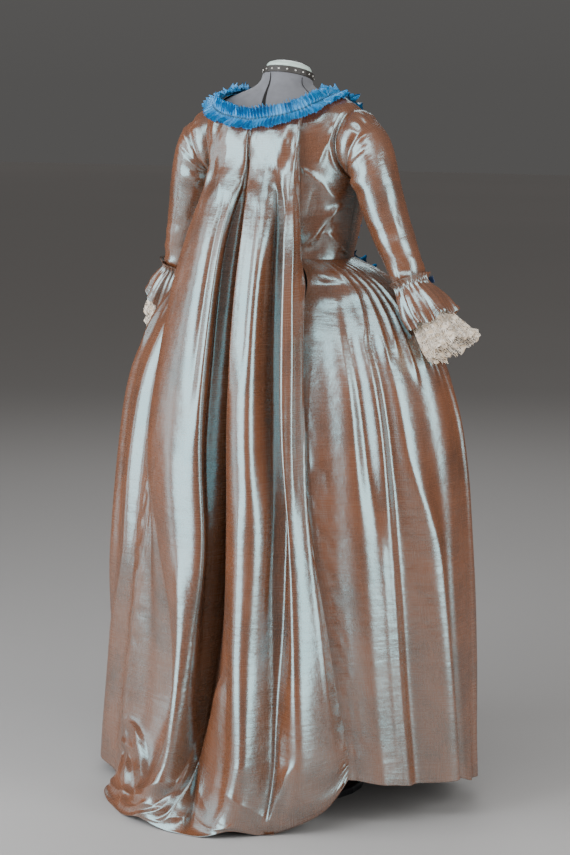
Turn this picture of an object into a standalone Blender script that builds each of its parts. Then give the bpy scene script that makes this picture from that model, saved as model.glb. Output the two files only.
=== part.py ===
"""Sack-back afternoon gown on a limbless dress form, cut and joined as the real one is sewn.

Metres, +Z up. The gown's front faces -Y, the wearer's left is +X, and the origin is on the
floor under the middle of the stand. Heights are above the floor. A turn is the angle round
the body in degrees, from 0 at the centre back to 180 at the centre front.
"""
import math

import bmesh
import bpy
from mathutils import Vector

OBJECT_NAME = "afternoon_dress_on_form"

# Driving sizes of the cloth
TAFFETA = 0.0015
LACE = 0.0012
SEAM_GAP = 0.0003
PANEL_SETBACK = 0.00024
EASE_AT_SHOULDER = 0.0034
EASE_AT_WAIST = 0.0042
EASE_OF_FRONT = 0.0034

# Heights that the pieces share
WAIST = 1.155
YOKE = 1.410
YOKE_SHARE = 0.82
ANKLE = 0.160
NECK_BACK = 1.447
BODY_ROWS = (1.155, 1.210, 1.275, 1.340, 1.410)
YOKE_PARTS = (0.298, 0.536, 0.714, 0.893, 1.000)
YOKE_ROWS = len(YOKE_PARTS)
SKIRT_ROWS = (1.155, 1.130, 1.090, 1.030, 0.930, 0.800, 0.640, 0.480, 0.320, 0.160)
HEM_ROWS = 3

# Armhole, an ellipse seen from the side
ARM_FORWARD = 0.010
ARM_HEIGHT = 1.397
ARM_HALF_DEPTH = 0.052
ARM_HALF_HEIGHT = 0.066

# The padded form, a row for each section; front and back are its Y at the centre lines
FORM_COLUMNS = ("height", "half_width", "front", "back", "tilt")
FORM_SECTIONS = (
    (0.820, 0.140, -0.105, 0.098, 0.0),
    (0.840, 0.160, -0.118, 0.112, 0.0),
    (0.950, 0.176, -0.126, 0.124, 0.0),
    (1.050, 0.162, -0.124, 0.112, 0.0),
    (1.155, 0.145, -0.121, 0.096, 0.0),
    (1.200, 0.150, -0.129, 0.104, 0.0),
    (1.260, 0.160, -0.142, 0.116, 0.0),
    (1.320, 0.170, -0.142, 0.126, 0.0),
    (1.370, 0.174, -0.126, 0.131, 0.0),
    (1.410, 0.178, -0.108, 0.130, 0.0),
    (1.435, 0.180, -0.094, 0.123, 0.0),
    (1.455, 0.177, -0.081, 0.110, 0.0),
    (1.470, 0.164, -0.071, 0.098, 0.0),
    (1.485, 0.137, -0.062, 0.084, 0.0),
    (1.498, 0.100, -0.056, 0.070, 2.0),
    (1.509, 0.068, -0.054, 0.058, 7.0),
    (1.519, 0.056, -0.055, 0.052, 12.0),
    (1.528, 0.053, -0.056, 0.050, 15.0),
)

# The skirt over its side hoops, a row for each section below the waist
SKIRT_COLUMNS = ("height", "half_width", "front", "back")
SKIRT_SECTIONS = (
    (1.130, 0.206, -0.147, 0.112),
    (1.100, 0.252, -0.164, 0.128),
    (1.050, 0.298, -0.184, 0.158),
    (1.000, 0.328, -0.202, 0.186),
    (0.900, 0.372, -0.232, 0.220),
    (0.800, 0.394, -0.252, 0.240),
    (0.650, 0.410, -0.272, 0.260),
    (0.450, 0.420, -0.290, 0.275),
    (0.200, 0.427, -0.305, 0.285),
    (0.000, 0.432, -0.315, 0.295),
)

# Where each sack-back panel is sewn to the bodice and the skirt, as a turn
SEAM_COLUMNS = ("height", "turn")
BACK_SEAM = (
    (1.470, 35.0), (1.410, 34.0), (1.300, 36.0), (1.155, 33.0), (1.050, 26.0), (0.900, 25.5),
    (0.800, 27.0), (0.690, 28.3), (0.570, 31.0), (0.410, 35.5), (0.285, 38.5), (0.160, 42.3),
)
SIDE_SEAM = 92.0
FRONT_EDGE = 148.0

# The sack back: the line where its two halves meet, at the bottom of the middle fold
CENTRE_COLUMNS = ("height", "across", "out")
CENTRE_FOLD = (
    (1.470, 0.000, 0.116), (1.410, 0.000, 0.136), (1.340, 0.000, 0.138), (1.200, 0.000, 0.188),
    (1.010, 0.002, 0.228), (0.790, 0.002, 0.262), (0.560, 0.000, 0.270), (0.380, 0.006, 0.281),
    (0.260, 0.008, 0.298), (0.160, 0.006, 0.312),
)

# Folds of each half: how far across from the centre back and how far out, section by section
FOLD_COLUMNS = ("height", "brink_across", "brink_out", "crest_across", "crest_out",
                "dip_across", "dip_out", "swell_across", "swell_out", "edge_across", "edge_out")
LEFT_FOLDS = (
    (1.470, 0.009, 0.126, 0.045, 0.124, 0.078, 0.117, 0.098, 0.109, 0.104, 0.102),
    (1.410, 0.009, 0.147, 0.048, 0.147, 0.083, 0.141, 0.103, 0.132, 0.109, 0.124),
    (1.340, 0.009, 0.149, 0.050, 0.151, 0.085, 0.145, 0.104, 0.136, 0.110, 0.127),
    (1.200, 0.008, 0.210, 0.049, 0.221, 0.090, 0.212, 0.122, 0.193, 0.134, 0.168),
    (1.010, 0.009, 0.258, 0.062, 0.268, 0.115, 0.254, 0.155, 0.230, 0.170, 0.204),
    (0.790, 0.006, 0.300, 0.072, 0.308, 0.130, 0.290, 0.175, 0.264, 0.197, 0.236),
    (0.560, -0.008, 0.316, 0.045, 0.334, 0.105, 0.312, 0.148, 0.280, 0.182, 0.252),
    (0.380, 0.006, 0.330, 0.032, 0.354, 0.075, 0.326, 0.115, 0.274, 0.180, 0.244),
    (0.260, 0.010, 0.348, 0.030, 0.374, 0.062, 0.346, 0.105, 0.282, 0.185, 0.246),
    (0.160, 0.016, 0.362, 0.036, 0.392, 0.072, 0.358, 0.116, 0.294, 0.195, 0.252),
)
RIGHT_FOLDS = (
    (1.470, 0.009, 0.126, 0.045, 0.124, 0.078, 0.117, 0.098, 0.109, 0.104, 0.102),
    (1.410, 0.009, 0.146, 0.048, 0.147, 0.083, 0.141, 0.103, 0.132, 0.109, 0.124),
    (1.340, 0.009, 0.148, 0.048, 0.151, 0.080, 0.144, 0.102, 0.137, 0.109, 0.127),
    (1.200, 0.022, 0.206, 0.072, 0.224, 0.108, 0.197, 0.133, 0.200, 0.142, 0.172),
    (1.010, 0.028, 0.250, 0.080, 0.270, 0.123, 0.232, 0.156, 0.238, 0.168, 0.206),
    (0.790, 0.040, 0.288, 0.098, 0.310, 0.132, 0.262, 0.170, 0.266, 0.186, 0.236),
    (0.560, 0.046, 0.300, 0.115, 0.332, 0.160, 0.284, 0.198, 0.290, 0.218, 0.262),
    (0.380, 0.050, 0.314, 0.118, 0.352, 0.163, 0.294, 0.216, 0.312, 0.244, 0.272),
    (0.260, 0.056, 0.332, 0.135, 0.374, 0.170, 0.304, 0.232, 0.330, 0.262, 0.276),
    (0.160, 0.062, 0.352, 0.142, 0.392, 0.178, 0.318, 0.242, 0.336, 0.274, 0.276),
)

# The train on the floor, a row for each fold: foot of the drop, then the hem
TRAIN_COLUMNS = ("foot_across", "foot_out", "foot_lift", "hem_across", "hem_out", "hem_lift")
CENTRE_TRAIN = (0.000, 0.340, 0.000, -0.030, 0.430, 0.000)
LEFT_TRAIN = (
    (0.026, 0.392, 0.030, 0.030, 0.430, 0.003),
    (0.060, 0.420, 0.060, 0.095, 0.424, 0.016),
    (0.100, 0.380, 0.030, 0.152, 0.396, 0.004),
    (0.160, 0.310, 0.000, 0.210, 0.356, 0.000),
    (0.236, 0.270, 0.018, 0.276, 0.300, 0.012),
    (0.306, 0.228, 0.006, 0.334, 0.226, 0.012),
)
RIGHT_TRAIN = (
    (0.068, 0.384, 0.020, 0.078, 0.424, 0.004),
    (0.140, 0.420, 0.064, 0.124, 0.402, 0.018),
    (0.178, 0.340, 0.010, 0.166, 0.345, 0.000),
    (0.238, 0.350, 0.050, 0.212, 0.305, 0.012),
    (0.272, 0.284, 0.060, 0.262, 0.262, 0.045),
    (0.298, 0.218, 0.120, 0.304, 0.214, 0.105),
)

# Height of the round hem past each back seam, as a turn and a height
HEM_COLUMNS = ("turn", "height", "flare")
LEFT_HEM = ((42.3, 0.012, 0.004), (60.0, 0.030, 0.014), (78.0, 0.046, 0.018),
            (98.0, 0.052, 0.006), (130.0, 0.052, 0.000), (180.0, 0.052, 0.000))
RIGHT_HEM = ((42.3, 0.105, 0.002), (56.0, 0.094, 0.000), (70.0, 0.084, 0.004),
             (84.0, 0.088, 0.000), (100.0, 0.060, 0.004), (130.0, 0.052, 0.000),
             (180.0, 0.052, 0.000))

# Soft folds of the skirt sides: turn at the waist, hip and hem, half width and depths
SIDE_FOLD_COLUMNS = ("waist_turn", "hip_turn", "hem_turn", "half_turn", "hip_depth", "hem_depth")
SIDE_FOLDS = (
    (44.0, 40.0, 52.0, 6.0, 0.004, 0.012),
    (56.0, 55.0, 63.0, 5.0, 0.006, 0.010),
    (68.0, 70.0, 75.0, 6.0, 0.006, 0.013),
    (79.0, 83.0, 86.0, 4.5, 0.007, 0.009),
    (87.0, 92.0, 97.0, 4.0, 0.008, 0.011),
    (94.0, 100.0, 107.0, 3.6, 0.008, 0.009),
    (101.0, 107.5, 117.0, 3.6, 0.008, 0.010),
    (108.0, 115.0, 127.0, 3.6, 0.007, 0.009),
    (115.0, 123.0, 137.0, 3.8, 0.006, 0.010),
)
FRONT_FOLD_TURNS = (158.0, 169.0, 180.0, 191.0, 202.0)
FRONT_FOLD_HALF = 5.0
FRONT_FOLD_DEPTH = 0.007

# Neckline of the gown, as a turn and a height
NECKLINE_COLUMNS = ("turn", "height")
NECKLINE = ((0.0, 1.447), (20.0, 1.453), (40.0, 1.467), (60.0, 1.482), (80.0, 1.489),
            (100.0, 1.490), (110.0, 1.4875), (118.0, 1.484), (128.0, 1.4755), (140.0, 1.446),
            (147.0, 1.402), (153.0, 1.355), (163.0, 1.340), (180.0, 1.335))

# How far each elbow swings outward and backward from the rings below
LEFT_ARM_SWING = (-0.004, -0.033)
RIGHT_ARM_SWING = (0.010, 0.030)

# Sleeves, a row for each ring: centre, slope below level, and half sizes
SLEEVE_COLUMNS = ("across", "out", "height", "slope", "half_high", "half_deep")
GATHERED_COLUMNS = SLEEVE_COLUMNS + ("wave",)
SLEEVE_RINGS = (
    (0.197, 0.013, 1.388, 18.0, 0.062, 0.053),
    (0.214, 0.018, 1.370, 42.0, 0.057, 0.053),
    (0.226, 0.020, 1.340, 60.0, 0.052, 0.052),
    (0.240, 0.019, 1.300, 68.0, 0.048, 0.049),
    (0.257, 0.015, 1.250, 70.0, 0.044, 0.046),
    (0.276, 0.009, 1.200, 69.0, 0.041, 0.043),
    (0.296, 0.003, 1.150, 68.0, 0.0372, 0.0392),
    (0.312, -0.002, 1.108, 68.0, 0.0331, 0.0351),
)
SLEEVE_DROP = 0.280
FLOUNCE_RINGS = (
    (0.3067, -0.0003, 1.122, 68.0, 0.0440, 0.0460, 0.0023),
    (0.3116, -0.0019, 1.109, 68.0, 0.0353, 0.0373, 0.0000),
    (0.3240, -0.0060, 1.088, 66.0, 0.0440, 0.0480, 0.0023),
    (0.3400, -0.0120, 1.060, 62.0, 0.0520, 0.0570, 0.0047),
    (0.3570, -0.0180, 1.032, 58.0, 0.0570, 0.0640, 0.0070),
)
FLOUNCE_WAVES = 8
LACE_RINGS = (
    (0.3082, -0.0008, 1.118, 68.0, 0.0312, 0.0332, 0.0000),
    (0.3128, -0.0023, 1.106, 68.0, 0.0306, 0.0326, 0.0000),
    (0.3270, -0.0080, 1.080, 66.0, 0.0350, 0.0380, 0.0015),
    (0.3510, -0.0180, 1.038, 58.0, 0.0420, 0.0440, 0.0030),
    (0.3740, -0.0380, 0.998, 54.0, 0.0500, 0.0630, 0.0045),
    (0.3920, -0.0640, 0.962, 50.0, 0.0540, 0.0860, 0.0060),
)
LACE_WAVES = 8
FLOUNCE_CLEARANCE = 0.007
LACE_CLEARANCE = 0.014

# Gathered ruffles
RUFFLE_HALF_WIDTH = 0.0225
NECK_RUFFLE_LIFT = 0.0012
FRONT_RUFFLE_LIFT = 0.0024
RUFFLE_STAND = 0.0085
RUFFLE_WAVE_DEPTH = 0.0032
NECK_RUFFLE_WAVES = 44
FRONT_RUFFLE_WAVES = 20
RUFFLE_END_TURN = 114.0
RUFFLE_DROP = 0.012
PLEAT_STAND = 0.018
FRONT_RUFFLE_TOP = 1.482
FRONT_RUFFLE_BOTTOM = 0.075
FRONT_RUFFLE_TURNS = ((1.482, 120.0), (1.475, 128.0), (1.446, 139.0), (1.402, 145.5), (1.355, 149.0),
                      (1.250, 150.0), (1.160, 149.0), (1.050, 148.0), (0.075, 148.0))

# Bow on each cuff
BOW_LOOP_LENGTH = 0.030
BOW_LOOP_HEIGHT = 0.016
BOW_THICKNESS = 0.007
LEFT_BOW_REACH = 0.0432
RIGHT_BOW_REACH = 0.0432

# Neck fittings and stand
NECK_TILT = 15.0
BAND_RADIUS = 0.0545
BAND_HEIGHT = 0.014
CAP_RADIUS = 0.0480
CAP_HEIGHT = 0.016
NECK_TOP = Vector((0.0, -0.003, 1.528))
POLE_RADIUS = 0.0125
BASE_RADIUS = 0.170
BASE_THICKNESS = 0.016


def smooth_value(knots, values, at):
    """Read a smooth curve through the knots that never swings past its values."""
    if at <= knots[0]:
        return values[0]
    if at >= knots[-1]:
        return values[-1]
    steps = [b - a for a, b in zip(knots, knots[1:])]
    slopes = [(b - a) / step for a, b, step in zip(values, values[1:], steps)]
    index = next(i for i, knot in enumerate(knots[1:]) if at <= knot)

    def tangent(i):
        if i == 0 or i == len(knots) - 1:
            return slopes[min(i, len(slopes) - 1)]
        before, after = slopes[i - 1], slopes[i]
        if before * after <= 0.0:
            return 0.0
        return 2.0 * before * after / (before + after)

    step = steps[index]
    t = (at - knots[index]) / step
    return (values[index] * (1 + 2 * t) * (1 - t) ** 2 + tangent(index) * step * t * (1 - t) ** 2
            + values[index + 1] * t * t * (3 - 2 * t) - tangent(index + 1) * step * t * t * (1 - t))


def read_table(table, at, column):
    """Read one column of a table at a value of its first column."""
    rows = sorted(table)
    return smooth_value([row[0] for row in rows], [row[column] for row in rows], at)


def through_points(points, at):
    """Read a rounded curve through a few points, where at counts from 0 at the first one."""
    index = min(int(at), len(points) - 2)
    t = at - index
    here, there = points[index], points[index + 1]
    before = points[index - 1] if index > 0 else here + (here - there)
    after = points[index + 2] if index + 2 < len(points) else there + (there - here)
    return 0.5 * (2 * here + (there - before) * t + (2 * before - 5 * here + 4 * there - after) * t * t
                  + (3 * here - before - 3 * there + after) * t ** 3)


def ease_in(value):
    value = min(max(value, 0.0), 1.0)
    return value * value * (3.0 - 2.0 * value)


def ring_point(half_width, front, back, turn, height, side):
    """Give a point on a section whose front and back are half ellipses."""
    angle = math.radians(turn)
    depth = back if math.cos(angle) > 0.0 else -front
    return Vector((side * half_width * math.sin(angle), depth * math.cos(angle), height))


def form_point(turn, height, side=1.0):
    width, front, back, tilt = (read_table(FORM_SECTIONS, height, column) for column in range(1, 5))
    middle = 0.5 * (front + back) * ease_in((height - YOKE) / 0.10)
    point = ring_point(width, front - middle, back - middle, turn, height, side)
    lean = math.radians(tilt)
    return Vector((point.x, middle + point.y * math.cos(lean), height + point.y * math.sin(lean)))


def bodice_point(turn, height, side, extra=0.0):
    """Give a point on the outside of the bodice, which is the form's own surface moved out."""
    step = 0.002
    around = form_point(turn + 1.0, height, side) - form_point(turn - 1.0, height, side)
    upward = form_point(turn, height + step, side) - form_point(turn, height - step, side)
    normal = around.cross(upward).normalized()
    if normal.x * side * math.sin(math.radians(turn)) + normal.y * math.cos(math.radians(turn)) < 0.0:
        normal.negate()
    rise = ease_in((height - WAIST) / 0.08)
    normal.z *= rise
    ease = EASE_AT_WAIST + (EASE_AT_SHOULDER - EASE_AT_WAIST) * ease_in((height - 1.25) / 0.15)
    ease += EASE_OF_FRONT * ease_in((turn - 100.0) / 25.0) * ease_in((height - WAIST) / 0.08)
    return form_point(turn, height, side) + normal.normalized() * (ease + extra)


def skirt_section(height):
    if height >= WAIST:
        height = WAIST
    top = (WAIST, FORM_SECTIONS[4][1] + EASE_AT_WAIST, FORM_SECTIONS[4][2] - EASE_AT_WAIST,
           FORM_SECTIONS[4][3] + EASE_AT_WAIST)
    table = (top,) + SKIRT_SECTIONS
    return tuple(read_table(table, height, column) for column in (1, 2, 3))


def skirt_base(turn, height, side, extra=0.0):
    width, front, back = skirt_section(height)
    return ring_point(width + extra, front - extra, back + extra, turn, height, side)


def fold_turn(row, height):
    return smooth_value((0.05, 0.95, WAIST), (row[2], row[1], row[0]), height)


def side_fold_depth(turn, height):
    """Sum the soft ridges that run down the skirt side at this place."""
    total = 0.0
    for row in SIDE_FOLDS:
        half_turn, hip_depth, hem_depth = row[3:]
        middle = fold_turn(row, height)
        depth = smooth_value((0.05, 0.95, WAIST), (hem_depth, hip_depth, 0.0), height)
        spread = half_turn * (0.75 + 0.35 * (1.0 - height / WAIST))
        away = (turn - middle) / spread
        if abs(away) < 1.0:
            total += depth * 0.5 * (1.0 + math.cos(math.pi * away))
    front_depth = FRONT_FOLD_DEPTH * ease_in((WAIST - height) / 0.3)
    for front_turn in FRONT_FOLD_TURNS:
        away = (turn - front_turn) / FRONT_FOLD_HALF
        if abs(away) < 1.0:
            total += front_depth * 0.5 * (1.0 + math.cos(math.pi * away))
    return total


def skirt_point(turn, height, side):
    """Give a point on the outside of the skirt with its folds."""
    hem = LEFT_HEM if side > 0.0 else RIGHT_HEM
    seam = read_table(BACK_SEAM, height, 1)
    fade = ease_in((turn - seam) / 6.0)
    low = ease_in((ANKLE * 2.0 - height) / (ANKLE * 2.0))
    flare = read_table(hem, min(turn, 360.0 - turn), 2) * low
    return skirt_base(turn, height, side, side_fold_depth(turn, height) * fade + flare)


def clear_of_skirt(point, gap):
    """Move a point that would lie inside the skirt out to just clear of it."""
    if point.z > WAIST:
        return point
    side = 1.0 if point.x > 0.0 else -1.0
    width, front, back = skirt_section(point.z)
    depth = back if point.y > 0.0 else -front
    turn = math.degrees(math.atan2(abs(point.x) / width, point.y / depth))
    limit = skirt_point(turn, point.z, side)
    reach = math.hypot(limit.x, limit.y) + gap
    distance = math.hypot(point.x, point.y)
    if distance >= reach:
        return point
    return Vector((point.x * reach / distance, point.y * reach / distance, point.z))


def seam_point(height, side, shift):
    """Give a point on the back seam, moved a little round the body by the seam gap."""
    turn = read_table(BACK_SEAM, height, 1)
    if height >= WAIST:
        here = bodice_point(turn, height, side)
        ahead = bodice_point(turn + 1.0, height, side)
    else:
        here = skirt_point(turn, height, side)
        ahead = skirt_point(turn + 1.0, height, side)
    along = (ahead - here).normalized()
    return here + along * shift


def neckline_height(turn):
    return read_table(NECKLINE, min(abs(turn), 180.0), 1)


def body_height(row, top):
    """Give the height of a bodice row: shared rows up to the yoke, then spread up to the edge."""
    yoke = min(YOKE, WAIST + (top - WAIST) * YOKE_SHARE)
    if row < len(BODY_ROWS):
        return WAIST + (BODY_ROWS[row] - WAIST) * (yoke - WAIST) / (YOKE - WAIST)
    return yoke + (top - yoke) * YOKE_PARTS[row - len(BODY_ROWS)]


def sack_section(side, height):
    """List the fold points of one half of the sack back at a height, centre to seam."""
    folds = LEFT_FOLDS if side > 0.0 else RIGHT_FOLDS
    gap = 0.5 * SEAM_GAP
    points = [Vector((read_table(CENTRE_FOLD, height, 1) + side * gap,
                      read_table(CENTRE_FOLD, height, 2), height))]
    for column in range(1, len(FOLD_COLUMNS), 2):
        points.append(Vector((side * read_table(folds, height, column),
                              read_table(folds, height, column + 1), height)))
    points.append(seam_point(height, side, -gap))
    return points


def sack_point(side, at, row):
    """Give a point on one half of the sack back: at counts folds, row counts down from the neck."""
    body_rows = len(BODY_ROWS) + YOKE_ROWS
    if row < body_rows:
        top = neckline_height(read_table(BACK_SEAM, NECK_BACK, 1) * at / 6.0)
        height = body_height(body_rows - 1 - row, top)
    elif row < body_rows + len(SKIRT_ROWS) - 1:
        height = SKIRT_ROWS[row - body_rows + 1]
    else:
        return train_point(side, at, (row - body_rows - len(SKIRT_ROWS) + 2) / HEM_ROWS)
    return through_points(sack_section(side, height), at)


def train_point(side, at, part):
    """Give a point past the ankle, where the cloth turns on to the floor and runs to the hem."""
    ankle = through_points(sack_section(side, ANKLE), at)
    rows = (CENTRE_TRAIN,) + (LEFT_TRAIN if side > 0.0 else RIGHT_TRAIN)
    feet = []
    hems = []
    for index, row in enumerate(rows):
        sign = 1.0 if index == 0 else side
        shift = side * 0.5 * SEAM_GAP if index == 0 else 0.0
        feet.append(Vector((sign * row[0] + shift, row[1], row[2])))
        hems.append(Vector((sign * row[3] + shift, row[4], row[5])))
    last_turn = BACK_SEAM[-1][1]
    hem_height = read_table(LEFT_HEM if side > 0.0 else RIGHT_HEM, last_turn, 1)
    hems[-1] = skirt_hem_point(last_turn, hem_height, side, -0.5 * SEAM_GAP)
    feet[-1] = ankle_to_hem(last_turn, side, -0.5 * SEAM_GAP)
    foot = through_points(feet, at)
    hem = through_points(hems, at)
    point = ankle * (1.0 - part) ** 2 + foot * 2.0 * part * (1.0 - part) + hem * part ** 2
    point.z = max(point.z, TAFFETA)
    return point


def skirt_hem_point(turn, height, side, shift):
    here = skirt_point(turn, height, side)
    ahead = skirt_point(turn + 1.0, height, side)
    return here + (ahead - here).normalized() * shift


def ankle_to_hem(turn, side, shift):
    """Give the middle control point between the ankle and the hem of the round skirt."""
    hem_height = read_table(LEFT_HEM if side > 0.0 else RIGHT_HEM, min(turn, 360.0 - turn), 1)
    return skirt_hem_point(turn, 0.5 * (ANKLE + hem_height), side, shift)


def round_skirt_point(side, turn_at, row, shift=0.0):
    """Give a point of a skirt panel; turn_at gives the turn for a height."""
    if row < len(SKIRT_ROWS):
        height = SKIRT_ROWS[row]
        if row == 0:
            height -= 0.5 * SEAM_GAP
        turn = turn_at(height)
        return skirt_hem_point(turn, height, side, shift)
    part = (row - len(SKIRT_ROWS) + 1) / HEM_ROWS
    turn = turn_at(ANKLE)
    hem_height = read_table(LEFT_HEM if side > 0.0 else RIGHT_HEM, min(turn, 360.0 - turn), 1)
    ankle = skirt_hem_point(turn, ANKLE, side, shift)
    foot = ankle_to_hem(turn, side, shift)
    hem = skirt_hem_point(turn, hem_height, side, shift)
    return ankle * (1.0 - part) ** 2 + foot * 2.0 * part * (1.0 - part) + hem * part ** 2


def make_material(name, color, roughness, metallic=0.0):
    material = bpy.data.materials.new(name)
    material.use_nodes = True
    shader = material.node_tree.nodes["Principled BSDF"]
    shader.inputs["Base Color"].default_value = (*color, 1.0)
    shader.inputs["Roughness"].default_value = roughness
    shader.inputs["Metallic"].default_value = metallic
    material.diffuse_color = (*color, 1.0)
    return material


def add_object(name, mesh, collection, material=None):
    piece = bpy.data.objects.new(name, mesh)
    collection.objects.link(piece)
    if material is not None:
        mesh.materials.append(material)
    return piece


def mesh_from_grid(name, grid, closed, outward):
    """Skin rows of points; outward gives a direction that tells the outside at a face."""
    build = bmesh.new()
    rows = [[build.verts.new(point) for point in row] for row in grid]
    count = len(grid[0])
    spans = count if closed else count - 1
    for upper, lower in zip(rows, rows[1:]):
        for index in range(spans):
            after = (index + 1) % count
            build.faces.new((upper[index], upper[after], lower[after], lower[index]))
    build.normal_update()
    if sum(face.normal.dot(outward(face.calc_center_median())) for face in build.faces) < 0.0:
        bmesh.ops.reverse_faces(build, faces=build.faces)
    mesh = bpy.data.meshes.new(name)
    build.to_mesh(mesh)
    build.free()
    mesh.shade_smooth()
    return mesh


def away_from_axis(point):
    return Vector((point.x, point.y, 0.0))


def cloth_piece(name, grid, collection, material, thickness=TAFFETA, closed=False,
                outward=away_from_axis):
    """Make one cut piece: an open surface given a wall on its inner side."""
    piece = add_object(name, mesh_from_grid(name, grid, closed, outward), collection, material)
    wall = piece.modifiers.new("cloth", "SOLIDIFY")
    wall.thickness = thickness
    wall.offset = -1.0
    return piece


def side_name(side):
    return "left" if side > 0.0 else "right"


def make_sack_back(side, collection, material):
    steps = 3
    columns = [index / steps for index in range(6 * steps + 1)]
    last_row = len(BODY_ROWS) + YOKE_ROWS + len(SKIRT_ROWS) - 1 + HEM_ROWS
    grid = [[sack_point(side, at, row) for at in columns] for row in range(last_row)]
    return cloth_piece("sack_back_" + side_name(side), grid, collection, material,
                       outward=lambda point: Vector((0.3 * point.x, 1.0, 0.6)))


def body_panel(name, side, turns_at, collection, material, columns):
    """Make a bodice panel; turns_at gives its two edges as turns for a height."""
    grid = []
    for row in range(len(BODY_ROWS) + YOKE_ROWS):
        line = []
        for column in range(columns + 1):
            part = column / columns
            first, last = turns_at(YOKE)
            turn = first + (last - first) * part
            height = body_height(row, neckline_height(turn))
            first, last = turns_at(height)
            turn = first + (last - first) * part
            height = body_height(row, neckline_height(turn))
            if row == 0:
                height += 0.5 * SEAM_GAP
            shift = PANEL_SETBACK if column == 0 else (-PANEL_SETBACK if column == columns else 0.0)
            here = bodice_point(turn, height, side)
            ahead = bodice_point(turn + 1.0, height, side)
            line.append(here + (ahead - here).normalized() * shift)
        grid.append(line)
    return cloth_piece(name, grid, collection, material,
                       outward=lambda point: Vector((point.x, point.y, 0.05)))


def make_bodice(side, collection, cutters, material):
    label = side_name(side)
    panels = [
        body_panel("bodice_side_" + label, side,
                   lambda height: (read_table(BACK_SEAM, height, 1), SIDE_SEAM), collection, material, 6),
        body_panel("bodice_front_" + label, side, lambda height: (SIDE_SEAM, 180.0),
                   collection, material, 9),
    ]
    cutter = make_armhole_cutter(side, cutters)
    for panel in panels:
        cut = panel.modifiers.new("armhole", "BOOLEAN")
        cut.operation = "DIFFERENCE"
        cut.solver = "EXACT"
        cut.object = cutter
    return panels


def make_armhole_cutter(side, cutters):
    mesh = bpy.data.meshes.new("armhole_" + side_name(side))
    build = bmesh.new()
    bmesh.ops.create_cone(build, cap_ends=True, segments=32, radius1=1.0, radius2=1.0, depth=1.0)
    for vertex in build.verts:
        along, deep, high = vertex.co.z, vertex.co.x, vertex.co.y
        vertex.co = Vector((side * (0.190 + 0.160 * along),
                            ARM_FORWARD + deep * (ARM_HALF_DEPTH + 0.0004),
                            ARM_HEIGHT + high * (ARM_HALF_HEIGHT + 0.0004)))
    if side < 0.0:
        bmesh.ops.reverse_faces(build, faces=build.faces)
    build.to_mesh(mesh)
    build.free()
    cutter = add_object("armhole_" + side_name(side), mesh, cutters)
    cutter.hide_render = True
    cutter.display_type = "WIRE"
    return cutter


def skirt_column_turn(at, height):
    """Give the turn of a column that follows the folds: at counts them from the back seam."""
    knots = [read_table(BACK_SEAM, height, 1)]
    knots.extend(fold_turn(row, height) for row in SIDE_FOLDS)
    knots.append(FRONT_EDGE)
    index = min(int(at), len(knots) - 2)
    return knots[index] + (knots[index + 1] - knots[index]) * (at - index)


def make_skirt_side(side, collection, material):
    per_fold = 2
    columns = per_fold * (len(SIDE_FOLDS) + 1)
    grid = []
    for row in range(len(SKIRT_ROWS) + HEM_ROWS):
        line = []
        for column in range(columns + 1):
            shift = 0.5 * SEAM_GAP if column == 0 else (-0.5 * SEAM_GAP if column == columns else 0.0)
            line.append(round_skirt_point(
                side, lambda height: skirt_column_turn(column / per_fold, height), row, shift))
        grid.append(line)
    return cloth_piece("skirt_side_" + side_name(side), grid, collection, material,
                       outward=lambda point: Vector((point.x, point.y, 0.2)))


def make_skirt_front(collection, material):
    columns = 14
    grid = []
    for row in range(len(SKIRT_ROWS) + HEM_ROWS):
        line = []
        for column in range(columns + 1):
            turn = FRONT_EDGE + (360.0 - 2.0 * FRONT_EDGE) * column / columns
            shift = 0.5 * SEAM_GAP if column == 0 else (-0.5 * SEAM_GAP if column == columns else 0.0)
            line.append(round_skirt_point(1.0, lambda height, turn=turn: turn, row, shift))
        grid.append(line)
    return cloth_piece("skirt_front", grid, collection, material,
                       outward=lambda point: Vector((0.0, -1.0, 0.2)))


def arm_centre(row, side):
    outward, backward = LEFT_ARM_SWING if side > 0.0 else RIGHT_ARM_SWING
    share = min((SLEEVE_RINGS[0][2] - row[2]) / SLEEVE_DROP, 1.2)
    return Vector((side * (row[0] + outward * share), row[1] + backward * share, row[2]))


def arm_ring(row, side, count, wave=None):
    """List the points of one ring round the arm, with waves for a gathered edge."""
    slope, half_high, half_deep = row[3:6]
    lean = math.radians(slope)
    upward = Vector((side * math.sin(lean), 0.0, math.cos(lean)))
    centre = arm_centre(row, side)
    points = []
    for index in range(count):
        angle = 2.0 * math.pi * index / count
        scale = 1.0 if wave is None else wave(angle)
        points.append(centre
                      + upward * (half_high * scale * math.sin(angle))
                      + Vector((0.0, half_deep * scale * math.cos(angle), 0.0)))
    return points


def armhole_ring(side, count):
    """List the points of the sleeve head, which lies in the armhole of the bodice."""
    points = []
    for index in range(count):
        angle = 2.0 * math.pi * index / count
        out = ARM_FORWARD + ARM_HALF_DEPTH * math.cos(angle)
        height = ARM_HEIGHT + ARM_HALF_HEIGHT * math.sin(angle)
        width, front, back = (read_table(FORM_SECTIONS, height, column) for column in (1, 2, 3))
        depth = back if out > 0.0 else -front
        across = width * math.sqrt(max(1.0 - (out / depth) ** 2, 0.0)) + EASE_AT_SHOULDER + 0.0008
        points.append(Vector((side * across, out, height)))
    return points


def arm_axis_direction(point):
    """Point away from the line down the middle of the arm."""
    side = 1.0 if point.x > 0.0 else -1.0
    rings = SLEEVE_RINGS + FLOUNCE_RINGS[1:] + LACE_RINGS[2:]
    centres = [arm_centre(row, side) for row in rings]
    return point - min(centres, key=lambda centre: (centre - point).length)


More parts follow.
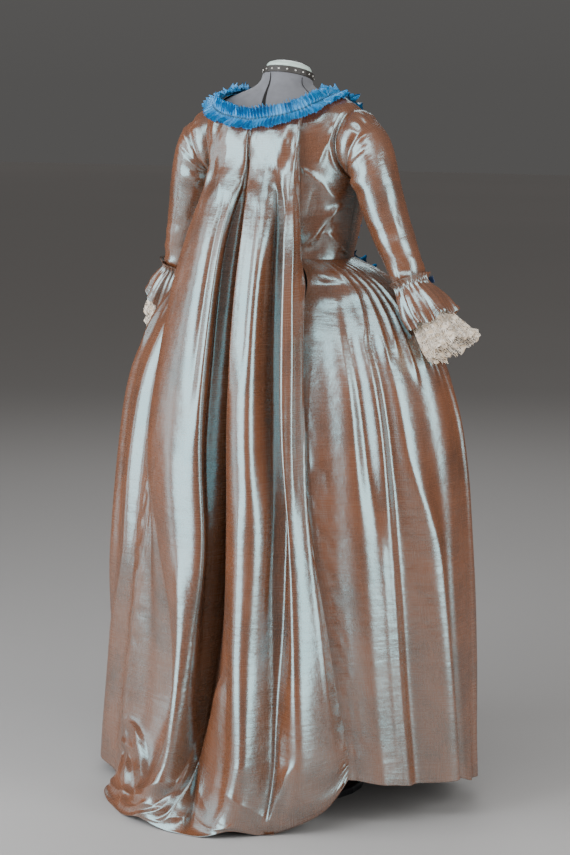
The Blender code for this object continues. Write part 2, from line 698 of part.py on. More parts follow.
def make_sleeve(side, collection, material):
    count = 16
    grid = [armhole_ring(side, count)] + [arm_ring(row, side, count) for row in SLEEVE_RINGS]
    return cloth_piece("sleeve_" + side_name(side), grid, collection, material, closed=True,
                       outward=arm_axis_direction)


def gathered_tube(name, rings, waves, side, collection, material, thickness, gap, per_wave=4):
    """Make a strip gathered round the arm, whose waves grow towards its free edge."""
    count = waves * per_wave
    grid = []
    for row in rings:
        swing = row[6] / row[5]
        ring = arm_ring(row, side, count, lambda angle: 1.0 + swing * math.sin(waves * angle))
        grid.append([clear_of_skirt(point, gap) for point in ring])
    return cloth_piece(name + "_" + side_name(side), grid, collection, material, thickness,
                       closed=True, outward=arm_axis_direction)


def even_path(path, samples=160):
    """Give the same path read by its own length, from 0 at its start to 1 at its end."""
    places = [path(index / samples)[0] for index in range(samples + 1)]
    lengths = [0.0]
    for here, there in zip(places, places[1:]):
        lengths.append(lengths[-1] + (there - here).length)

    def along(at):
        target = at * lengths[-1]
        index = next((i for i in range(samples) if lengths[i + 1] >= target), samples - 1)
        part = (target - lengths[index]) / (lengths[index + 1] - lengths[index])
        return path((index + part) / samples)

    return along


def ruffle_frame(path, at):
    """Give a place on a ruffle's line with its run, its outward normal and its width direction."""
    here, normal = path(at)
    ahead = path(min(at + 0.014, 1.0))[0]
    behind = path(max(at - 0.014, 0.0))[0]
    run = (ahead - behind).normalized()
    normal = (normal - run * normal.dot(run)).normalized()
    return here, run, normal, normal.cross(run)


def make_ruffle(name, path, waves, lift, collection, material, per_wave=3):
    """Make a ruffle gathered along its middle, with both edges free and waved."""
    path = even_path(path)
    count = waves * per_wave
    grid = []
    for place in (-1.0, 0.0, 1.0):
        line = []
        for index in range(count + 1):
            at = index / count
            here, run, normal, wide = ruffle_frame(path, at)
            stand = lift + TAFFETA + RUFFLE_STAND * abs(place) ** 1.3
            crowding = wing_crowding(path, at, place)
            wave = RUFFLE_WAVE_DEPTH * math.sin(2.0 * math.pi * waves * at) * (0.25 + 0.75 * abs(place))
            line.append(here + normal * (stand + wave * crowding) + wide * (RUFFLE_HALF_WIDTH * place))
        grid.append(line)
    return cloth_piece(name, grid, collection, material,
                       outward=lambda point: ruffle_outward(path, point))


def wing_crowding(path, at, place):
    """Give how far the wing's edge is squeezed where the ruffle's line bends, 1 where it is not."""
    step = 0.01
    first, last = max(at - step, 0.0), min(at + step, 1.0)
    edges = []
    middles = []
    for value in (first, last):
        here, _, _, wide = ruffle_frame(path, value)
        middles.append(here)
        edges.append(here + wide * (RUFFLE_HALF_WIDTH * place))
    share = (edges[1] - edges[0]).length / (middles[1] - middles[0]).length
    return min(max(1.4 * share - 0.4, 0.1), 1.0)


def ruffle_outward(path, point):
    nearest = min((path(index / 40.0) for index in range(41)), key=lambda pair: (pair[0] - point).length)
    return nearest[1]


def surface_normal(turn, height, side):
    inner = bodice_point(turn, height, side)
    outer = bodice_point(turn, height, side, 0.01)
    return (outer - inner).normalized()


def neck_ruffle_path(at):
    """Follow the neckline from the right shoulder's front, round the back, to the left one's."""
    turn = (2.0 * at - 1.0) * RUFFLE_END_TURN
    side = 1.0 if turn > 0.0 else -1.0
    size = abs(turn)
    height = neckline_height(size) - RUFFLE_DROP * (1.0 - ease_in((size - 20.0) / 45.0))
    base = bodice_point(size, height, side)
    lift = PLEAT_STAND * ease_in((62.0 - size) / 26.0)
    normal = surface_normal(size, height, side)
    return base + normal * lift, normal


def front_ruffle_path(side):
    """Follow the gown's front edge from the shoulder to the hem."""

    def path(at):
        height = FRONT_RUFFLE_TOP + (FRONT_RUFFLE_BOTTOM - FRONT_RUFFLE_TOP) * at ** 1.6
        turn = read_table(FRONT_RUFFLE_TURNS, height, 1)
        if height >= WAIST:
            return bodice_point(turn, height, side), surface_normal(turn, height, side)
        point = skirt_point(turn, height, side)
        above = skirt_point(turn, min(height + 0.01, WAIST), side)
        below = skirt_point(turn, height - 0.01, side)
        around = skirt_base(turn + 1.0, height, side) - skirt_base(turn - 1.0, height, side)
        normal = around.cross(above - below).normalized()
        if normal.y > 0.0:
            normal.negate()
        return point, normal

    return path


def make_cuff_bow(side, collection, material):
    """Make a flat ribbon bow as one soft body that lies on the flounce's gather line."""
    mesh = bpy.data.meshes.new("cuff_bow_" + side_name(side))
    build = bmesh.new()
    bmesh.ops.create_uvsphere(build, u_segments=14, v_segments=8, radius=1.0)
    for vertex in build.verts:
        along, thick, high = vertex.co
        waist = 0.35 + 0.65 * min(abs(along) * 1.8, 1.0)
        vertex.co = Vector((along * BOW_LOOP_LENGTH, thick * 0.5 * BOW_THICKNESS,
                            high * BOW_LOOP_HEIGHT * 0.5 * waist * 1.3))
    build.to_mesh(mesh)
    build.free()
    mesh.shade_smooth()
    bow = add_object("cuff_bow_" + side_name(side), mesh, collection, material)
    gather = FLOUNCE_RINGS[1]
    reach = LEFT_BOW_REACH if side > 0.0 else RIGHT_BOW_REACH
    bow.location = arm_centre(gather, side) - Vector((0.0, reach, 0.0))
    bow.rotation_euler = (0.0, side * math.radians(gather[3] - 90.0), 0.0)
    return bow


def make_form_torso(collection, material):
    columns = 28
    heights = [row[0] for row in FORM_SECTIONS]
    rows = []
    for low, high in zip(heights, heights[1:]):
        parts = 2 if high - low > 0.055 else 1
        rows.extend(low + (high - low) * part / parts for part in range(parts))
    rows.append(heights[-1])
    build = bmesh.new()
    loops = [[build.verts.new(form_point(360.0 * index / columns, height)) for index in range(columns)]
             for height in rows]
    for lower, upper in zip(loops, loops[1:]):
        for index in range(columns):
            after = (index + 1) % columns
            build.faces.new((lower[index], lower[after], upper[after], upper[index]))
    build.faces.new(loops[0])
    build.faces.new(loops[-1])
    bmesh.ops.recalc_face_normals(build, faces=build.faces)
    mesh = bpy.data.meshes.new("form_torso")
    build.to_mesh(mesh)
    build.free()
    mesh.shade_smooth()
    return add_object("form_torso", mesh, collection, material)


def turned_piece(name, profile, collection, material, steps=24):
    """Turn a profile, given as radius and height from top to bottom of its outer side."""
    mesh = bpy.data.meshes.new(name)
    mesh.from_pydata([(radius, 0.0, height) for radius, height in profile],
                     [(index, index + 1) for index in range(len(profile) - 1)], [])
    piece = add_object(name, mesh, collection, material)
    screw = piece.modifiers.new("turn", "SCREW")
    screw.axis = "Z"
    screw.steps = steps
    screw.render_steps = steps
    screw.use_merge_vertices = True
    screw.merge_threshold = 0.00005
    screw.use_smooth_shade = True
    return piece


def make_neck_fittings(collection, band_material, cap_material):
    lean = math.radians(NECK_TILT)
    axis = Vector((0.0, -math.sin(lean), math.cos(lean)))
    band = turned_piece("form_neck_band", (
        (0.0, BAND_HEIGHT), (BAND_RADIUS - 0.001, BAND_HEIGHT), (BAND_RADIUS, BAND_HEIGHT - 0.001),
        (BAND_RADIUS, 0.001), (BAND_RADIUS - 0.001, 0.0), (0.0, 0.0)), collection, band_material)
    band.location = NECK_TOP + axis * 0.0003
    band.rotation_euler = (lean, 0.0, 0.0)
    cap = turned_piece("form_neck_cap", (
        (0.0, CAP_HEIGHT), (CAP_RADIUS - 0.012, CAP_HEIGHT - 0.001), (CAP_RADIUS - 0.003, CAP_HEIGHT - 0.005),
        (CAP_RADIUS, CAP_HEIGHT - 0.010), (CAP_RADIUS, 0.0), (0.0, 0.0)), collection, cap_material)
    cap.location = NECK_TOP + axis * (BAND_HEIGHT + 0.0006)
    cap.rotation_euler = (lean, 0.0, 0.0)
    return band, cap


def make_stand(collection, pole_material, base_material):
    pole_bottom = BASE_THICKNESS + SEAM_GAP
    pole_top = FORM_SECTIONS[0][0] - SEAM_GAP
    pole = turned_piece("stand_pole", (
        (0.0, pole_top), (POLE_RADIUS - 0.001, pole_top), (POLE_RADIUS, pole_top - 0.001),
        (POLE_RADIUS, pole_bottom + 0.001), (POLE_RADIUS - 0.001, pole_bottom), (0.0, pole_bottom)),
        collection, pole_material, steps=12)
    base = turned_piece("stand_base", (
        (0.0, BASE_THICKNESS), (BASE_RADIUS - 0.008, BASE_THICKNESS),
        (BASE_RADIUS - 0.002, BASE_THICKNESS - 0.003),
        (BASE_RADIUS, BASE_THICKNESS - 0.008), (BASE_RADIUS, 0.0), (0.0, 0.0)), collection, base_material)
    return pole, base


def clear_scene():
    for item in list(bpy.data.objects):
        bpy.data.objects.remove(item, do_unlink=True)


def build_part():
    clear_scene()
    parts = bpy.data.collections.new(OBJECT_NAME)
    cutters = bpy.data.collections.new("cutters")
    bpy.context.scene.collection.children.link(parts)
    bpy.context.scene.collection.children.link(cutters)

    taffeta = make_material("shot_taffeta", (0.36, 0.22, 0.15), 0.32)
    ribbon = make_material("blue_silk_ruffle", (0.03, 0.22, 0.46), 0.38)
    lace = make_material("cream_lace", (0.78, 0.66, 0.54), 0.85)
    bow = make_material("navy_ribbon", (0.01, 0.035, 0.10), 0.40)
    jersey = make_material("grey_jersey", (0.27, 0.27, 0.29), 0.90)
    band = make_material("dark_neck_band", (0.04, 0.035, 0.03), 0.55)
    cap = make_material("mint_neck_cap", (0.58, 0.70, 0.62), 0.45)
    steel = make_material("steel_pole", (0.55, 0.55, 0.56), 0.35, 1.0)
    iron = make_material("black_iron_base", (0.03, 0.03, 0.03), 0.55, 0.0)

    make_form_torso(parts, jersey)
    make_neck_fittings(parts, band, cap)
    make_stand(parts, steel, iron)
    for side in (1.0, -1.0):
        make_sack_back(side, parts, taffeta)
        make_bodice(side, parts, cutters, taffeta)
        make_skirt_side(side, parts, taffeta)
        make_sleeve(side, parts, taffeta)
        gathered_tube("flounce", FLOUNCE_RINGS, FLOUNCE_WAVES, side, parts, taffeta, TAFFETA,
                      FLOUNCE_CLEARANCE)
        gathered_tube("lace_cuff", LACE_RINGS, LACE_WAVES, side, parts, lace, LACE, LACE_CLEARANCE)
        make_ruffle("front_ruffle_" + side_name(side), front_ruffle_path(side), FRONT_RUFFLE_WAVES,
                    FRONT_RUFFLE_LIFT, parts, ribbon)
        make_cuff_bow(side, parts, bow)
    make_skirt_front(parts, taffeta)
    make_ruffle("neck_ruffle", neck_ruffle_path, NECK_RUFFLE_WAVES, NECK_RUFFLE_LIFT, parts, ribbon)


build_part()
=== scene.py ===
import math

import bmesh
import bpy
import numpy as np
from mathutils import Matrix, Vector


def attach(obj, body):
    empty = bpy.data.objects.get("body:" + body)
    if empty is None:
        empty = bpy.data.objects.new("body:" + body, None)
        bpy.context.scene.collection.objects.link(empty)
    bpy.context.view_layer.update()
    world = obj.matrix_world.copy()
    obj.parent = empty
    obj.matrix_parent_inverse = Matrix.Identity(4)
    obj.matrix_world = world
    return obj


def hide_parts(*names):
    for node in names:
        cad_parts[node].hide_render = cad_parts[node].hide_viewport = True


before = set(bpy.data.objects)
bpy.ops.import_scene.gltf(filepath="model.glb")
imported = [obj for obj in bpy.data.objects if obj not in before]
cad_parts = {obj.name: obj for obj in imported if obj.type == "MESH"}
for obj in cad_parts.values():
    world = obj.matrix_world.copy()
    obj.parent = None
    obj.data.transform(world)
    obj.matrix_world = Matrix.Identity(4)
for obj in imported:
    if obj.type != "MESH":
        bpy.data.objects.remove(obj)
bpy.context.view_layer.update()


# --- Studio ---
# A plain pale painted floor, and soft boxes as a costume photographer sets them: a large one to the
# camera's left with a weak strip beside it, one to the right, one overhead and one behind the gown.
CAMERA_AZIMUTH = 213.0
CAMERA_RISE = 8.5
CAMERA_DISTANCE = 5.0
AIM = Vector((0.0, 0.0, 0.785))
FOCAL_PIXELS = 2325.0
PICTURE_WIDE, PICTURE_TALL = 570.0, 855.0
MIDDLE_COLUMN = 287.0
SENSOR_MM = 36.0
LIGHTS_AIM = Vector((0.0, 0.0, 0.85))
HALF_FLOOR = 30.0
HORIZON_GREY = "#565554"
CEILING_GREY = "#878584"
# Name, degrees round from the camera, height, distance, width, height of the box, watts, colour
LIGHTS = (
    ("soft_box_left", -60.0, 1.5, 2.9, 2.5, 2.9, 146.0, "#F4F9FF"),
    ("strip_box_left", -102.0, 1.3, 3.0, 0.8, 2.6, 16.0, "#F4F9FF"),
    ("soft_box_right", 48.0, 1.4, 3.0, 1.6, 2.7, 84.0, "#FBFDFF"),
    ("box_overhead", -16.0, 3.7, 2.6, 3.4, 1.0, 64.0, "#F8FBFF"),
    ("box_behind", 176.0, 3.6, 4.2, 2.6, 1.2, 48.0, "#F8FBFF"),
)


def linear(code, alpha=1.0):
    """Turn an sRGB hex value to the linear colour that a shader takes."""
    parts = [int(code[i:i + 2], 16) / 255.0 for i in (1, 3, 5)]
    return (*(p / 12.92 if p <= 0.04045 else ((p + 0.055) / 1.055) ** 2.4 for p in parts), alpha)


def put(tree, kind, settings=None, links=None, stops=()):
    """Add a node with its settings, its colour stops, and links as socket name to (node, output)."""
    made = tree.nodes.new("ShaderNode" + kind)
    for name, value in (settings or {}).items():
        if isinstance(name, int) or name in made.inputs:
            made.inputs[name].default_value = value
        else:
            setattr(made, name, value)
    for number, (position, code) in enumerate(stops):
        made.color_ramp.elements[number].position = position
        made.color_ramp.elements[number].color = linear(code)
    for name, (source, output) in (links or {}).items():
        tree.links.new(source.outputs[output], made.inputs[name])
    return made


def new_material(name, **settings):
    """Start a material; a hex value is a colour and an underscore stands for a space."""
    material = bpy.data.materials.new(name)
    material.use_nodes = True
    tree = material.node_tree
    shader = tree.nodes["Principled BSDF"]
    for socket, value in settings.items():
        value = linear(value) if isinstance(value, str) else value
        shader.inputs[socket.replace("_", " ")].default_value = value
    return material, tree, shader


def join(shader, **sources):
    """Link nodes' outputs to the shader's sockets."""
    for socket, (source, output) in sources.items():
        shader.id_data.links.new(source.outputs[output], shader.inputs[socket.replace("_", " ")])


def add_object(name, data):
    made = bpy.data.objects.new(name, data)
    bpy.context.scene.collection.objects.link(made)
    return made


def round_from_camera(degrees):
    turn = math.radians(CAMERA_AZIMUTH + degrees)
    return Vector((math.sin(turn), -math.cos(turn), 0.0))


def aimed(data, name, place, aim):
    made = add_object(name, data)
    made.location = place
    made.rotation_euler = (aim - place).to_track_quat("-Z", "Y").to_euler()
    return made


camera = bpy.data.cameras.new("portrait_lens")
camera.sensor_fit = "VERTICAL"
camera.sensor_height = camera.sensor_width = SENSOR_MM
camera.lens = FOCAL_PIXELS * SENSOR_MM / PICTURE_TALL
camera.shift_x = (PICTURE_WIDE / 2.0 - MIDDLE_COLUMN) / PICTURE_TALL
rise = math.radians(CAMERA_RISE)
toward_camera = round_from_camera(0.0) * math.cos(rise) + Vector((0, 0, math.sin(rise)))
bpy.context.scene.camera = aimed(camera, "camera", AIM + toward_camera * CAMERA_DISTANCE, AIM)

for name, degrees, height, distance, wide, tall, watts, colour in LIGHTS:
    lamp = bpy.data.lights.new(name, "AREA")
    lamp.shape = "RECTANGLE"
    lamp.size = wide
    lamp.size_y = tall
    lamp.energy = watts
    lamp.color = linear(colour)[:3]
    aimed(lamp, name, round_from_camera(degrees) * distance + Vector((0, 0, height)), LIGHTS_AIM)

air = bpy.data.worlds.new("studio_air")
air.use_nodes = True
tree = air.node_tree
rises = put(tree, "SeparateXYZ", links={"Vector": (put(tree, "TexCoord"), "Generated")})
shades = put(tree, "ValToRGB", links={"Fac": (rises, "Z")},
             stops=((0.0, HORIZON_GREY), (1.0, CEILING_GREY)))
tree.links.new(shades.outputs["Color"], tree.nodes["Background"].inputs["Color"])
bpy.context.scene.world = air

floor_mesh = bpy.data.meshes.new("floor")
corners = [(x * HALF_FLOOR, y * HALF_FLOOR, 0) for x, y in ((-1, -1), (1, -1), (1, 1), (-1, 1))]
floor_mesh.from_pydata(corners, [], [(0, 1, 2, 3)])
floor = add_object("floor", floor_mesh)
# Matt emulsion, rolled on: a pale grey with faint patches and no shine.
painted_floor, tree, shader = new_material("painted_studio_floor", Roughness=0.75)
patches = put(tree, "TexNoise", {"Scale": 1.7, "Detail": 5.0, "Roughness": 0.62})
greys = put(tree, "ValToRGB", links={"Fac": (patches, "Fac")},
            stops=((0.35, "#ABA8A5"), (0.7, "#B8B5B2")))
join(shader, Base_Color=(greys, "Color"))
floor_mesh.materials.append(painted_floor)


# --- Dress form ---
# A padded limbless form covered in grey cotton jersey: a matt fine knit, slightly mottled. Its cover
# opens down the back of the neck, and a thin black cord hangs from the neck band.
# Height, half width, front, back, degrees of tilt
FORM_SECTIONS = (
    (0.82, 0.14, -0.105, 0.098, 0.0), (0.84, 0.16, -0.118, 0.112, 0.0),
    (0.95, 0.176, -0.126, 0.124, 0.0), (1.05, 0.162, -0.124, 0.112, 0.0),
    (1.155, 0.145, -0.121, 0.096, 0.0), (1.2, 0.15, -0.129, 0.104, 0.0),
    (1.26, 0.16, -0.142, 0.116, 0.0), (1.32, 0.17, -0.142, 0.126, 0.0),
    (1.37, 0.174, -0.126, 0.131, 0.0), (1.41, 0.178, -0.108, 0.13, 0.0),
    (1.435, 0.18, -0.094, 0.123, 0.0), (1.455, 0.177, -0.081, 0.11, 0.0),
    (1.47, 0.164, -0.071, 0.098, 0.0), (1.485, 0.137, -0.062, 0.084, 0.0),
    (1.498, 0.1, -0.056, 0.07, 2.0), (1.509, 0.068, -0.054, 0.058, 7.0),
    (1.519, 0.056, -0.055, 0.052, 12.0), (1.528, 0.053, -0.056, 0.05, 15.0),
)
YOKE = 1.41
KNIT_RIB_MM = 1.2


def ease(value):
    value = np.clip(value, 0.0, 1.0)
    return value * value * (3.0 - 2.0 * value)


def read(table, at, column):
    """Read a column of a table, by its first column, on a smooth curve that never overshoots."""
    rows = sorted(table)
    knots = np.array([row[0] for row in rows], float)
    values = np.array([row[column] for row in rows], float)
    steps = np.diff(knots)
    slopes = np.diff(values) / steps
    both = slopes[:-1] * slopes[1:]
    total = slopes[:-1] + slopes[1:]
    inner = np.where(both > 0.0, 2.0 * both / np.where(total == 0.0, 1.0, total), 0.0)
    tangents = np.concatenate(([slopes[0]], inner, [slopes[-1]]))
    at = np.clip(np.asarray(at, float), knots[0], knots[-1])
    i = np.clip(np.searchsorted(knots, at) - 1, 0, len(steps) - 1)
    step = steps[i]
    t = (at - knots[i]) / step
    return (values[i] * (1 + 2 * t) * (1 - t) ** 2 + tangents[i] * step * t * (1 - t) ** 2
            + values[i + 1] * t * t * (3 - 2 * t) - tangents[i + 1] * step * t * t * (1 - t))


def at_points(x, y, z):
    x, y, z = np.broadcast_arrays(x, y, z)
    return np.stack((x, y, z), axis=-1).astype(float)


def oval(half_width, front, back, turn, height, side):
    """Points on a section whose front and back are half ellipses; turn 0 is the centre back."""
    angle = np.radians(turn)
    depth = np.where(np.cos(angle) > 0.0, back, -front)
    return at_points(side * half_width * np.sin(angle), depth * np.cos(angle), height)


def form_surface(turn, height, side=1.0):
    width, front, back, tilt = (read(FORM_SECTIONS, height, column) for column in range(1, 5))
    middle = 0.5 * (front + back) * ease((height - YOKE) / 0.1)
    place = oval(width, front - middle, back - middle, turn, height, side)
    lean = np.radians(tilt)
    return at_points(place[..., 0], middle + place[..., 1] * np.cos(lean),
                     height + place[..., 1] * np.sin(lean))


def level(grid):
    """The same directions laid level."""
    return grid * [1.0, 1.0, 0.0]


def skin(name, grid, material, stands_for, away=None):
    """Make a piece from a grid of points, with a map of the cloth in metres, and let it ride."""
    rows, columns = grid.shape[:2]
    number = np.arange(rows * columns).reshape(rows, columns)
    faces = np.stack((number[:-1, :-1], number[:-1, 1:], number[1:, 1:], number[1:, :-1]), -1)
    faces = faces.reshape(-1, 4)
    if away is not None:
        normal = np.cross(np.gradient(grid, axis=1), np.gradient(grid, axis=0))
        if (normal * away).sum() > 0.0:
            faces = faces[:, ::-1]
    mesh = bpy.data.meshes.new(name)
    mesh.from_pydata(grid.reshape(-1, 3).tolist(), [], faces.tolist())
    widths = np.linalg.norm(np.diff(grid, axis=1), axis=2).mean(axis=0)
    lengths = np.linalg.norm(np.diff(grid, axis=0), axis=2).mean(axis=1)
    u, v = np.meshgrid(*(np.concatenate(([0.0], np.cumsum(sizes))) for sizes in (widths, lengths)))
    flat = np.stack((u, -v), -1).reshape(-1, 2)
    corner = np.empty(len(mesh.loops), dtype=np.int32)
    mesh.loops.foreach_get("vertex_index", corner)
    layer = mesh.uv_layers.new(name="cloth_metres")
    layer.data.foreach_set("uv", flat[corner].reshape(-1).astype(np.float32))
    mesh.shade_smooth()
    mesh.materials.append(material)
    piece = add_object(name, mesh)
    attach(piece, "root")
    if stands_for:
        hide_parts(*stands_for)
    return piece


# Rib knit of brushed cotton: dull, with a soft nap at the edges and a slight mottle.
cotton_jersey, tree, shader = new_material(
    "cotton_jersey", Roughness=0.88, Sheen_Weight=0.25, Sheen_Roughness=0.5)
place = (put(tree, "TexCoord"), "Object")
ribs = put(tree, "TexWave", {"Scale": 1000.0 / KNIT_RIB_MM / 6.28, "Distortion": 1.2, "Detail": 1.0,
                             "Detail Scale": 2.0, "bands_direction": "X"}, {"Vector": place})
knit = put(tree, "Bump", {"Strength": 0.25, "Distance": 0.0004}, {"Height": (ribs, "Fac")})
mottle = put(tree, "TexNoise", {"Scale": 60.0, "Detail": 6.0, "Roughness": 0.6}, {"Vector": place})
greys = put(tree, "ValToRGB", links={"Fac": (mottle, "Fac")},
            stops=((0.0, "#66666A"), (1.0, "#7F7F83")))
join(shader, Base_Color=(greys, "Color"), Normal=(knit, "Normal"))

form_rows = np.concatenate((np.linspace(0.82, 1.4, 30), np.linspace(1.405, 1.528, 44)))
turns, heights = np.meshgrid(np.linspace(0.0, 360.0, 109), form_rows)
torso_grid = form_surface(turns, heights)
UPRIGHT = [0.0, 0.0, 1.0]
torso_grid = np.concatenate((torso_grid[:1] * UPRIGHT, torso_grid, torso_grid[-1:] * UPRIGHT))
torso_grid[-1, :, :2] = torso_grid[-2, :, :2].mean(axis=0)
torso_grid[-1, :, 2] = torso_grid[-2, :, 2].mean()
torso = skin("form_torso_cover", torso_grid, cotton_jersey, ["form_torso"],
             level(torso_grid))


# --- Neck band, cap, slit and cord ---
# A dark leatherette band nailed round the neck with small nickel rivets, under a turned wooden cap
# in pale mint paint. The band is satin, the paint smooth with faint brush marks.
NECK_TOP = Vector((0.0, -0.003, 1.528))
NECK_TILT = math.radians(15.0)
BAND_RADIUS = 0.0545
BAND_HEIGHT = 0.014
RIVET_TURNS = tuple(range(7, 360, 19))
RIVET_RADIUS = 0.0021
RIVET_RINGS = ((1.0, 0.0), (0.85, 0.0007), (0.5, 0.0012))
CORD_TURNS = (-66.5, -64.0, -60.0, -56.0, -53.0)
CORD_HEIGHTS = (1.524, 1.518, 1.511, 1.503, 1.495)
CORD_RADIUS = 0.0007
# Height, half width, turn
NECK_SLIT = ((1.527, 0.0009, 10.0), (1.51, 0.0017, 6.0), (1.49, 0.0036, 1.5), (1.47, 0.0052, -2.0),
             (1.452, 0.0058, -5.0))


def finish_node(node_name, material):
    """Give a CAD node that keeps its shape its own material."""
    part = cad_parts[node_name]
    part.data.materials.clear()
    part.data.materials.append(material)
    for face in part.data.polygons:
        face.use_smooth = True


# Coated cloth, pressed with a leather grain of about 1 mm: dark brown with a low shine.
leatherette, tree, shader = new_material("leatherette", Base_Color="#37332F", Roughness=0.5)
grain = put(tree, "TexNoise", {"Scale": 900.0, "Detail": 3.0})
pressed = put(tree, "Bump", {"Strength": 0.3, "Distance": 0.0003}, {"Height": (grain, "Fac")})
join(shader, Normal=(pressed, "Normal"))
finish_node("form_neck_band", leatherette)

# Gloss paint on turned wood, brushed on: pale mint with a soft shine and faint strokes.
mint_paint, tree, shader = new_material(
    "mint_paint", Roughness=0.38, Coat_Weight=0.2, Coat_Roughness=0.2)
strokes = put(tree, "TexNoise", {"Scale": 45.0, "Detail": 4.0})
brushed = put(tree, "Bump", {"Strength": 0.1, "Distance": 0.0003}, {"Height": (strokes, "Fac")})
mints = put(tree, "ValToRGB", links={"Fac": (strokes, "Fac")},
            stops=((0.0, "#BFD3C7"), (1.0, "#D3E3DA")))
join(shader, Base_Color=(mints, "Color"), Normal=(brushed, "Normal"))
finish_node("form_neck_cap", mint_paint)

# Nickel-plated brass, stamped: bright and slightly warm, dulled here and there by handling.
nickel, tree, shader = new_material("nickel_plate", Base_Color="#E9E5DC", Metallic=1.0)
handled = put(tree, "TexNoise", {"Scale": 700.0, "Detail": 2.0})
dulled = put(tree, "MapRange", {"To Min": 0.18, "To Max": 0.42}, {"Value": (handled, "Fac")})
join(shader, Roughness=(dulled, "Result"))

neck_axis = Vector((0.0, -math.sin(NECK_TILT), math.cos(NECK_TILT)))
neck_side = Vector((1.0, 0.0, 0.0))
neck_back = neck_axis.cross(neck_side)
verts = []
faces = []
for turn in RIVET_TURNS:
    way = neck_back * math.cos(math.radians(turn)) + neck_side * math.sin(math.radians(turn))
    centre = NECK_TOP + neck_axis * (0.0003 + 0.5 * BAND_HEIGHT) + way * (BAND_RADIUS - 0.0002)
    along = way.cross(neck_axis).normalized()
    start = len(verts)
    for radius, lift in RIVET_RINGS:
        for step in range(10):
            angle = 2.0 * math.pi * step / 10
            verts.append(centre + way * lift + (along * math.cos(angle) + neck_axis * math.sin(angle))
                         * (RIVET_RADIUS * radius))
    verts.append(centre + way * 0.0013)
    for step in range(10):
        after = (step + 1) % 10
        for ring in (start, start + 10):
            faces.append((ring + step, ring + after, ring + 10 + after, ring + 10 + step))
        faces.append((start + 20 + step, start + 20 + after, start + 30))
rivet_mesh = bpy.data.meshes.new("neck_rivets")
rivet_mesh.from_pydata(verts, [], faces)
rivet_mesh.shade_smooth()
rivet_mesh.materials.append(nickel)
rivets = add_object("neck_rivets", rivet_mesh)
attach(rivets, "root")

# Painted shade: a near-black sheet laid over the cover in the slit, standing for the form's stuffing deep
# in shadow, with no shine. The black cord takes this material too, as its own colour.
slit_shade_and_black_cord, tree, shader = new_material("painted_slit_shade_and_black_cord", Roughness=0.9)
shade_and_cord_mottle = put(tree, "TexNoise", {"Scale": 1500.0, "Detail": 2.0})
blacks = put(tree, "ValToRGB", links={"Fac": (shade_and_cord_mottle, "Fac")},
             stops=((0.0, "#0C0A09"), (1.0, "#211B18")))
join(shader, Base_Color=(blacks, "Color"))

# The slit is a thin sheet in painted shade, laid just over the jersey cover rather than cut into it.
slit_heights = np.linspace(NECK_SLIT[-1][0], NECK_SLIT[0][0], 30)
slit_half = read(NECK_SLIT, slit_heights, 1)
slit_turns = np.array([-1.0, -0.5, 0.0, 0.5, 1.0])
slit_mid = form_surface(read(NECK_SLIT, slit_heights, 2), slit_heights)
slit_grid = slit_mid[:, None, :] + at_points(slit_half[:, None] * slit_turns[None, :], 0.0, 0.0)
slit_grid[..., 1] += 0.0009 + 0.0004 * (1.0 - slit_turns[None, :] ** 2)
skin("neck_slit_painted_shade", slit_grid, slit_shade_and_black_cord, [], slit_grid * 0.0 + [0.0, 1.0, 0.3])

cord_mid = form_surface(np.array(CORD_TURNS), np.array(CORD_HEIGHTS))
cord_curve = bpy.data.curves.new("neck_cord", "CURVE")
cord_curve.dimensions = "3D"
cord_curve.bevel_depth = CORD_RADIUS
cord_curve.bevel_resolution = 2
strand = cord_curve.splines.new("POLY")
strand.points.add(len(cord_mid) - 1)
for index, place in enumerate(cord_mid):
    outward = Vector((place[0], place[1] + 0.003, 0.0)).normalized() * 0.0009
    strand.points[index].co = (*(Vector(place) + outward), 1.0)
# The cord's black is its own colour; it shares the material that paints the shade in the slit.
cord_curve.materials.append(slit_shade_and_black_cord)
neck_cord = add_object("neck_cord", cord_curve)
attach(neck_cord, "root")


# --- Stand ---
# A plain steel tube, drawn bright and a little scuffed, screwed into a round cast-iron foot in
# black enamel. The skirt hides both.
drawn_steel, tree, shader = new_material("drawn_steel_tube", Base_Color="#B5B5B6", Metallic=1.0)
place = (put(tree, "TexCoord"), "Object")
along_tube = put(tree, "Mapping", {"Scale": (900.0, 900.0, 12.0)}, {"Vector": place})
draw_lines = put(tree, "TexNoise", {"Scale": 1.0, "Detail": 3.0}, {"Vector": (along_tube, "Vector")})
scuffs = put(tree, "MapRange", {"To Min": 0.24, "To Max": 0.46}, {"Value": (draw_lines, "Fac")})
join(shader, Roughness=(scuffs, "Result"))
finish_node("stand_pole", drawn_steel)

# Stoved over the casting's own skin: a broad shine, broken by its pits.
black_enamel, tree, shader = new_material(
    "black_enamel_on_cast_iron", Base_Color="#17171A", Roughness=0.34)
casting = put(tree, "TexNoise", {"Scale": 260.0, "Detail": 2.0})
pitted = put(tree, "Bump", {"Strength": 0.25, "Distance": 0.0004}, {"Height": (casting, "Fac")})
join(shader, Normal=(pitted, "Normal"))
finish_node("stand_base", black_enamel)


# --- Bodice ---
# A close-fitting bodice of silk taffeta on a stiff linen lining: a side-back and a front each side,
# seamed at the side and cut away for the arm, with slanting pull wrinkles from the arm to the waist.
SIDES = ((1.0, "left"), (-1.0, "right"))
WAIST = 1.155
EASE_AT_SHOULDER = 0.0034
EASE_AT_WAIST = 0.0042
EASE_OF_FRONT = 0.0034
SIDE_SEAM = 92.0
# Height, turn
BACK_SEAM = (
    (1.47, 35.0), (1.41, 34.0), (1.3, 36.0), (1.155, 33.0), (1.05, 26.0), (0.9, 25.5),
    (0.8, 27.0), (0.69, 28.3), (0.57, 31.0), (0.41, 35.5), (0.285, 38.5), (0.16, 42.3),
)
